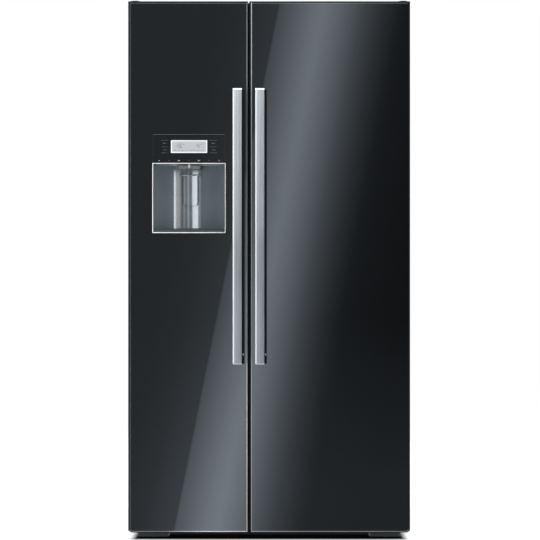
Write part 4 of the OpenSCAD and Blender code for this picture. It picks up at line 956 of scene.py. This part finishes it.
def recess():
    """Inner and outer arcs over angle and height make the wall, bright steel in its middle and the darker
    copy at its sides as painted shade. Two D-shaped plates close it, and two ears carry the pad's rod."""
    low, high = limits("dispenser_hollow")
    sheet_t = 0.0015
    outer, centre_y = recess_arc()
    mid = (low[0] + high[0]) / 2
    inner = outer - sheet_t
    span = np.arccos((low[1] - centre_y) / outer) - 0.002
    angle = np.linspace(-span, span, 97)[None, :]
    z = np.linspace(low[2], high[2], 9)[:, None]

    def arc(radius):
        x = mid + radius * np.sin(angle) + 0 * z
        y = np.maximum(centre_y + radius * np.cos(angle) + 0 * z, low[1])
        return np.stack([x, y, np.broadcast_to(z, x.shape)], -1)

    points, blocks = closed_sheet(arc(inner), arc(outer))
    middle = (angle[0, 1:] + angle[0, :-1]) / 2
    # Angles outside this span take the painted shade copy.
    bright_from, bright_to = -0.47, 0.275
    painted_shade_sides = 2 * ((middle > bright_to) | (middle < bright_from))
    rows = 2 * (len(z) - 1)
    parts = [(points, blocks, np.concatenate([np.tile(painted_shade_sides, rows), np.zeros(len(blocks[2]), int)]))]
    bow = np.linspace(-span, span, 65)
    chord = np.stack([mid + inner * np.sin(bow), np.maximum(centre_y + inner * np.cos(bow), low[1])], 1)
    chord = chord[::-1]
    for z0 in (low[2], high[2] - sheet_t):
        ring = np.stack([np.insert(chord, 2, h, axis=1) for h in (z0, z0 + sheet_t)])
        parts.append((*loft(ring), int(z0 > low[2])))
    pin_z, pin_y = limits("dispenser_pad")[1][2] - 0.0025, limits("dispenser_pad")[1][1] - 0.0015
    for side in (-1, 1):
        x = mid + side * 0.0315
        parts.append(block((x - 0.0010, x + 0.0015), (pin_y - 0.0035, pin_y + 0.008),
                           (pin_z - 0.0040, pin_z + 0.0040), 0.0005))
    make("recess_shell", parts, "freezer_door", [recess_metal, recess_roof, recess_side_painted_shade],
         replaces="dispenser_hollow")


recess()


def push_pad():
    """Plate on the hollow's own curve, with its lower corners cut round, that hangs from a rod."""
    low, high = limits("dispenser_pad")
    mid, centre_y = (low[0] + high[0]) / 2, recess_arc()[1]
    radius = high[1] - centre_y
    v, u = np.linspace(0, 1, 33)[:, None], np.linspace(-1, 1, 33)[None, :]
    z = low[2] + 0.001 + (high[2] - 0.004 - low[2]) * v
    corner = 0.012
    drop = np.clip((low[2] + corner - z) / corner, 0, 1)
    spread = (0.0235 - corner * (1 - np.sqrt(1 - drop ** 2)) * 0.7) / radius
    angle = u * spread

    def skin(r):
        x = mid + r * np.sin(angle)
        return np.stack([x, centre_y + r * np.cos(angle), np.broadcast_to(z, x.shape)], -1)

    parts = [closed_sheet(skin(radius - 0.0014), skin(radius - 0.0002))]
    rod = [(0, -0.0307), (0.0022, -0.0307), (0.0025, -0.0302), (0.0025, 0.0302), (0.0022, 0.0307),
           (0, 0.0307)]
    parts.append(stamp(turned(rod, "x", 24), [(mid, high[1] - 0.0015, high[2] - 0.0025)]))
    make("push_plate", parts, "dispenser_pad", pad_metal, replaces="dispenser_pad")


pad_metal = brushed("pad_steel", (0.35, 0.385, 0.405), 0.17, (30, 30, 900), (0, 0, 1), tone=0.06,
                    stretch=0.8, metallic=0.6)
push_pad()
dress(black_plastic, "ice_flap")
# The ice chute is painted pale along its lowest 12.5 mm as a painted highlight, and near black above it as
# painted shade.
spout_low = limits("ice_chute")[0][2]
dress(painted_light_grade("spout_painted_light", "Z", [(spout_low, 0.20), (spout_low + 0.0125, 0.20),
                                     (spout_low + 0.0135, 0.003), (spout_low + 0.1, 0.003)],
             (0.85, 1.0, 1.06)), "ice_chute")
dress(brushed("tray_steel", (0.085, 0.115, 0.125), 0.38, (15, 500, 500), (0, 1, 0)), "drip_tray")


def water_nozzle():
    """Short white tube with a flared end, turned about Z, over the bore of the water line."""
    front = limits("ice_chute")[0][1]
    pad_low, pad_high = limits("dispenser_pad")
    mid = (pad_low[0] + pad_high[0]) / 2
    roof = limits("dispenser_frame")[1][2] - 0.005
    r = 0.0041
    ring = [(0.0022, roof), (r, roof), (r, roof - 0.003), (r - 0.0006, roof - 0.0045),
            (r, roof - 0.0100), (r - 0.0008, roof - 0.0106), (0.0022, roof - 0.0106)]
    make("water_nozzle", [stamp(turned(ring, "z", 32), [(mid, front + 0.0035, 0)])], "freezer_door",
         nylon_white)


water_nozzle()

# --------------------------------------------------------------- Control panel
# Gloss black window set flush in the glass. A fine grey line is printed round it, and seven small
# marks over the recess stand for the kinds of ice and water. No lettering is used.
panel_black = finish("panel_window", (0.0022, 0.0026, 0.0031), 0.02, grain=(5, 5, 5), tone=0.1,
                     polish=0.01, sockets={"IOR": 2.2})
dress(panel_black, "control_panel")
key_black = finish("key_cap", (0.0025, 0.0029, 0.0034), 0.04, grain=(400, 400, 400), tone=0.1,
                   polish=0.02, sockets={"IOR": 2.2})
dress(key_black, "key_1", "key_2", "key_3", "key_4")
print_grey = finish("panel_print", (0.16, 0.17, 0.18), 0.5, grain=(900, 900, 900), tone=0.05)
print_pale = finish("mark_print", (0.70, 0.73, 0.76), 0.5, grain=(900, 900, 900), tone=0.05)
INK = 0.00008


def printed(x, z, face):
    """Printed stroke: a film over the face at depth face, between two pairs of limits."""
    return block(x, (face - INK, face), z, 0.00002)


def panel_print():
    """Fine line round the panel and a row of seven marks, the third and fifth of them brightest."""
    low, high = limits("control_panel")
    trim = limits("dispenser_frame")[1][2]
    line = 0.0007
    y = low[1]
    parts = [printed((low[0] + 0.001, high[0] - 0.001), (high[2] - 0.001 - line, high[2] - 0.001), y)]
    make("panel_top_line", parts, "freezer_door", print_grey)
    parts = [printed((x, x + line * 0.6), (trim + 0.001, high[2] - 0.002), y)
             for x in (low[0] + 0.001, high[0] - 0.0015)]
    make("panel_side_lines", parts, "freezer_door",
         finish("faint_print", (0.028, 0.031, 0.034), 0.5, grain=(900, 900, 900)))
    mid, pitch, level = (low[0] + high[0]) / 2, 0.0323, trim + 0.0068
    drop = turned([(0.0013, -0.00004), (0.0013, 0.00004)], "y", 20)
    pale, grey = [], []
    for k in range(-3, 4):
        x = mid + k * pitch
        if abs(k) == 1:
            pale += [printed((x - 0.0034, x - 0.0010), (level - 0.0011, level + 0.0013), y),
                     printed((x + 0.0004, x + 0.0034), (level - 0.0011, level - 0.0001), y),
                     printed((x + 0.0012, x + 0.0026), (level + 0.0004, level + 0.0014), y)]
        elif k % 2:
            pale.append(stamp(drop, [(x, y - 0.00004, level)]))
        else:
            grey += [printed((x - 0.0022, x + 0.0022), (level - 0.0004, level + 0.0004), y),
                     printed((x - 0.0004, x + 0.0004), (level - 0.0014, level + 0.0014), y)]
    make("dispenser_marks", pale, "freezer_door", print_pale)
    make("dispenser_marks_dim", grey, "freezer_door", print_grey)


panel_print()


def key_print(number, upper):
    """Line along the outer side of a key, one between the pair, and a plain symbol in the middle."""
    node = f"key_{number}"
    low, high = limits(node)
    mid = (low + high) / 2
    y = low[1]
    left, right = low[0] + 0.0005, high[0] - 0.0005
    edges = [high[2] - 0.0007] if upper else [high[2] - 0.0007, low[2] + 0.0001]
    parts = [printed((left, right), (z, z + 0.0006), y) for z in edges]
    if number % 2:
        parts += [printed((mid[0] - 0.005, mid[0] - 0.001), (mid[2] - 0.0013, mid[2] + 0.0013), y),
                  printed((mid[0] + 0.001, mid[0] + 0.006), (mid[2] - 0.0004, mid[2] + 0.0004), y)]
    else:
        parts += [printed((mid[0] - 0.006, mid[0] + 0.003), (mid[2] - 0.0004, mid[2] + 0.0004), y),
                  printed((mid[0] + 0.004, mid[0] + 0.006), (mid[2] - 0.001, mid[2] + 0.001), y)]
    make(node + "_symbol", parts, node, print_grey)


for number in (1, 2, 3, 4):
    key_print(number, number % 2 == 1)

# --------------------------------------------------------------------- Display
# Pale grey segment display behind the panel: a brighter border, the reflective sheet, and segments
# that show two temperatures in a slightly darker grey. The border and the sheet are given a glow of their
# own: painted light.
lcd_border_painted_glow = finish("display_border", (0.66, 0.67, 0.69), 0.35, grain=(200, 200, 200), tone=0.03,
                  sockets={"Emission Color": (0.84, 0.86, 0.88, 1), "Emission Strength": 0.55})
lcd_sheet_painted_glow = finish("display_sheet", (0.40, 0.41, 0.43), 0.35, grain=(900, 900, 900), tone=0.10,
                  sockets={"Emission Color": (0.70, 0.72, 0.76, 1), "Emission Strength": 0.16})
lcd_ink = finish("display_segments", (0.17, 0.175, 0.185), 0.4, grain=(900, 900, 900), tone=0.1)


def digit(segments, x, z, h, y):
    """Seven-segment figure: each named segment is one short printed bar of the figure eight."""
    w, t = h * 0.5, h * 0.11
    bars = {"a": ((0, w), (h - t, h)), "d": ((0, w), (0, t)), "g": ((0, w), (h / 2 - t / 2, h / 2 + t / 2)),
            "b": ((w - t, w), (h / 2, h)), "c": ((w - t, w), (0, h / 2)),
            "f": ((0, t), (h / 2, h)), "e": ((0, t), (0, h / 2))}
    return [printed((x + bars[s][0][0], x + bars[s][0][1]), (z + bars[s][1][0], z + bars[s][1][1]), y)
            for s in segments]


def display_parts():
    """Border ring, sheet and figures, each a thin film in front of the one behind it."""
    low, high = limits("display")
    y = low[1]
    border = 0.0032
    window = np.array([(low[0], low[2]), (high[0], high[2])])
    ring = frame_ring(window, [(0.0002, y + 0.0004), (0.0002, y), (border, y), (border, y + 0.0004)])
    make("display_rim", [ring], "freezer_door", lcd_border_painted_glow)
    bezel = frame_ring(window, [(-0.0020, y + 0.0004), (-0.0020, y + 0.0001), (0.0001, y + 0.0001),
                                (0.0001, y + 0.0004)])
    make("display_bezel", [bezel], "freezer_door", dark_outline)
    x0, x1, z0, z1 = low[0] + border, high[0] - border, low[2] + border, high[2] - border
    sheet = block((low[0], high[0]), (y + 0.0002, high[1]), (low[2], high[2]), 0.0001)
    make("display_sheet", [sheet], "freezer_door", lcd_sheet_painted_glow, replaces="display")
    tall, face = (z1 - z0) * 0.42, y + 0.0002
    base = z0 + (z1 - z0) * 0.34
    minus = base + tall / 2
    parts = [printed((x0 + 0.010, x0 + 0.0145), (minus - 0.0008, minus + 0.0008), face)]
    for segments, x in (("bc", x0 + 0.013), ("acdefg", x0 + 0.0245), ("bcfg", x1 - 0.030)):
        parts += digit(segments, x, base, tall, face)
    for x in (x0 + 0.037, x1 - 0.017):
        parts.append(printed((x, x + 0.0028), (base + tall - 0.0028, base + tall), face))
    for x in x0 + 0.006 + 0.0125 * np.arange(8):
        parts.append(printed((x, x + 0.008), (z0 + 0.004, z0 + 0.0052), face))
    make("display_figures", parts, "freezer_door", lcd_ink)


display_parts()

# ---------------------------------------------------------------------- Studio
# A pale round floor that fades out, with a painted contact shadow under the appliance, a white
# surround, soft lamps and a tall sheet of light behind the camera. The sheet's slanted edge and its
# fall-off to the right are what the glass doors mirror.
EYE = (0.0028, 4.5, 0.8806)      # across, distance to the glass, height
SHEET_BACK = 5.5                 # distance of the light sheet from the glass


def staged(name, points, faces):
    """Studio mesh with an empty material of its own, and that material's node tree."""
    mesh = bpy.data.meshes.new(name)
    mesh.from_pydata(points, [], faces)
    piece = bpy.data.objects.new(name, mesh)
    bpy.context.scene.collection.objects.link(piece)
    material = bpy.data.materials.new(name)
    material.use_nodes = True
    mesh.materials.append(material)
    return piece, material.node_tree


def studio_floor():
    """Disc with a painted contact shadow: its paint and its glow go dark under the appliance, and it gives
    way to nothing towards its rim.
    """
    points, blocks = turned([(0, 0), (1.2, 0), (2.4, 0), (3.6, 0), (3.6, -0.01), (0, -0.01)], "z", 96)
    floor, tree = staged("studio_floor", points.tolist(), sum((b.tolist() for b in blocks), []))
    floor.visible_glossy = False
    place = put(tree, "TexCoord").outputs["Object"]
    part = put(tree, "SeparateXYZ", {"Vector": place})
    cover, case = limits("plinth"), limits("case_wrap")

    def number(operation, a, b):
        """Math node with two inputs, each a socket or a constant."""
        return put(tree, "Math", {0: a, 1: b}, operation=operation).outputs["Value"]

    # Painted shadow: the paint and glow are dark under the footprint and rise to full within 22 mm of it.
    aside = number("SUBTRACT", number("ABSOLUTE", part.outputs["X"], 0.0), cover[1][0] + 0.002)
    ahead = number("SUBTRACT", cover[0][1] - 0.014, part.outputs["Y"])
    behind = number("SUBTRACT", part.outputs["Y"], case[1][1])
    away = number("MAXIMUM", number("MAXIMUM", aside, ahead), behind)
    shade = put(tree, "MapRange", {"Value": away, "From Max": 0.022}).outputs["Result"]
    grey = put(tree, "Mix", {0: shade, 6: (0.004, 0.004, 0.005, 1), 7: (0.80, 0.80, 0.80, 1)},
               data_type="RGBA")
    length = put(tree, "VectorMath", {0: place}, operation="LENGTH")
    fade = put(tree, "MapRange", {"Value": length.outputs["Value"], "From Min": 1.0, "From Max": 3.4,
                                  "To Min": 1.0, "To Max": 0.0}, interpolation_type="SMOOTHSTEP")
    feed(tree.nodes["Principled BSDF"], {
        "Roughness": 0.8, "Specular IOR Level": 0.1, "Base Color": grey.outputs[2],
        "Emission Color": (1.0, 1.0, 1.0, 1), "Emission Strength": number("MULTIPLY", shade, 0.58),
        "Alpha": fade.outputs["Result"]})


def light_sheet(glass):
    """Upright emitting sheet. A point on it is mirrored in the glass at a place found by similar
    triangles; its brightness depends on how far that place is to the right of the slanted edge."""
    scale = EYE[1] / (EYE[1] + SHEET_BACK)
    edge_at_top, slope, top = 0.0356, 0.2, limits("freezer_door_frame")[1][2]
    gloss = 0.1406                   # share of light that the glass mirrors head-on
    u, v = np.meshgrid([-2.4, 2.4], [-2.0, 3.8])
    points = np.stack([u, np.full_like(u, glass - SHEET_BACK), v], -1).reshape(-1, 3)
    sheet, tree = staged("light_sheet", points.tolist(), [[0, 1, 3, 2]])
    sheet.visible_camera = False
    sheet.visible_shadow = False
    tree.nodes.remove(tree.nodes["Principled BSDF"])
    place = put(tree, "TexCoord").outputs["Object"]
    across = put(tree, "VectorMath", {0: place, 1: (scale, 0, -slope * scale)},
                 operation="DOT_PRODUCT").outputs["Value"]
    start = (1 - scale) * (slope * EYE[2] - EYE[0]) + edge_at_top - slope * top
    span = put(tree, "MapRange", {"Value": across, "From Min": start - 0.20, "From Max": start + 0.60})
    # Each row is the reach from the slanted edge, and the brightness high up and low down.
    shades = [(-0.20, 0.018, 0.022), (-0.10, 0.022, 0.029), (-0.03, 0.029, 0.042),
              (-0.001, 0.031, 0.045), (0.001, 0.060, 0.086), (0.016, 0.068, 0.094),
              (0.032, 0.080, 0.108), (0.065, 0.103, 0.137), (0.097, 0.131, 0.163),
              (0.130, 0.152, 0.185), (0.145, 0.155, 0.183), (0.162, 0.145, 0.168),
              (0.194, 0.121, 0.143), (0.220, 0.097, 0.117), (0.243, 0.079, 0.096),
              (0.270, 0.056, 0.074), (0.291, 0.045, 0.060), (0.315, 0.033, 0.047),
              (0.340, 0.023, 0.036), (0.388, 0.0105, 0.0225), (0.420, 0.0068, 0.0170),
              (0.518, 0.0050, 0.0160), (0.590, 0.0040, 0.0150)]
    tint, peak = (0.87, 1.0, 1.12), 0.2
    high_up, low_down = (ramp(tree, span.outputs["Result"],
                              [((row[0] + 0.20) / 0.80, row[k] / peak) for row in shades], tint)
                         for k in (1, 2))
    part = put(tree, "SeparateXYZ", {"Vector": place})
    depth = put(tree, "MapRange", {"Value": part.outputs["Z"],
                                   "From Min": EYE[2] - (EYE[2] - 0.72) / scale,
                                   "From Max": EYE[2] - (EYE[2] - 0.16) / scale})
    mixed = put(tree, "Mix", {0: depth.outputs["Result"], 6: high_up, 7: low_down}, data_type="RGBA")
    glow = put(tree, "Emission", {"Color": mixed.outputs[2], "Strength": 0.97 * peak / gloss})
    feed(tree.nodes["Material Output"], {"Surface": glow.outputs["Emission"]})


def lamp_panel(name, at, aim, size, radiance):
    """Soft area lamp at a point, turned towards another, giving the same radiance all over."""
    data = bpy.data.lights.new(name, "AREA")
    data.shape = "RECTANGLE"
    data.size, data.size_y = size
    data.energy = radiance * np.pi * size[0] * size[1]
    obj = bpy.data.objects.new(name, data)
    direction = Vector(aim) - Vector(at)
    obj.location = at
    obj.rotation_mode = "QUATERNION"
    obj.rotation_quaternion = direction.to_track_quat("-Z", "Y")
    obj.visible_camera = False
    bpy.context.scene.collection.objects.link(obj)


def studio():
    """Floor, sheet, lamps, surround and camera, placed from the doors' glass plane."""
    glass = limits("fridge_door_glass")[0][1]
    recess_low, recess_high = limits("dispenser_hollow")
    mouth = np.array([(recess_low[0] + recess_high[0]) / 2, glass, 1.1])
    studio_floor()
    light_sheet(glass)
    lamp_panel("lamp_over", (0, -0.6, 3.6), (0, 0, 0), (3.6, 3.6), 3.0)
    lamp_panel("lamp_left", (-4.2, -0.15, 1.4), (0, -0.3, 1.0), (1.6, 3.0), 2.0)
    lamp_panel("lamp_right", (4.4, 0.3, 1.6), (0, 0, 0.9), (2.2, 3.0), 0.8)
    lamp_panel("lamp_back", (0, 4.4, 1.8), (0, 0, 0.9), (2.6, 2.4), 0.9)
    strips = [("strip_left", -26.5, -9.2, 3.6, 2.3), ("strip_right", 43.0, 50.0, 3.6, 2.3),
              ("strip_soft", 30.0, 43.0, 3.7, 0.42), ("strip_mid", 13.6, 18.6, SHEET_BACK, 0.6)]
    for name, first, last, away, radiance in strips:
        turn = np.radians((first + last) / 2)
        wide = 2 * away * np.tan(np.radians(last - first) / 2)
        at = mouth + away * np.array([np.sin(turn), -np.cos(turn), 0])
        lamp_panel(name, tuple(at), tuple(mouth), (wide, 2.6), radiance)
    world = bpy.data.worlds.new("pale_surround")
    bpy.context.scene.world = world
    world.use_nodes = True
    tree = world.node_tree
    part = put(tree, "SeparateXYZ", {"Vector": put(tree, "TexCoord").outputs["Generated"]})
    below = put(tree, "MapRange", {"Value": part.outputs["Z"], "From Min": -0.06, "From Max": 0.02,
                                   "To Min": 0.75, "To Max": 0.34})
    seen = put(tree, "LightPath").outputs["Is Camera Ray"]
    pick = put(tree, "Mix", {0: seen, 2: below.outputs["Result"], 3: 1.0}, data_type="FLOAT")
    feed(tree.nodes["Background"], {"Strength": pick.outputs["Result"], "Color": (1, 1, 1, 1)})
    data = bpy.data.cameras.new("front_camera")
    data.lens = 92.94
    data.sensor_width = 36.0
    camera = bpy.data.objects.new("front_camera", data)
    camera.location = (EYE[0], glass - EYE[1], EYE[2])
    camera.rotation_euler = (np.pi / 2, 0, 0)
    bpy.context.scene.collection.objects.link(camera)
    bpy.context.scene.camera = camera
    bpy.context.scene.view_settings.view_transform = "Standard"


studio()
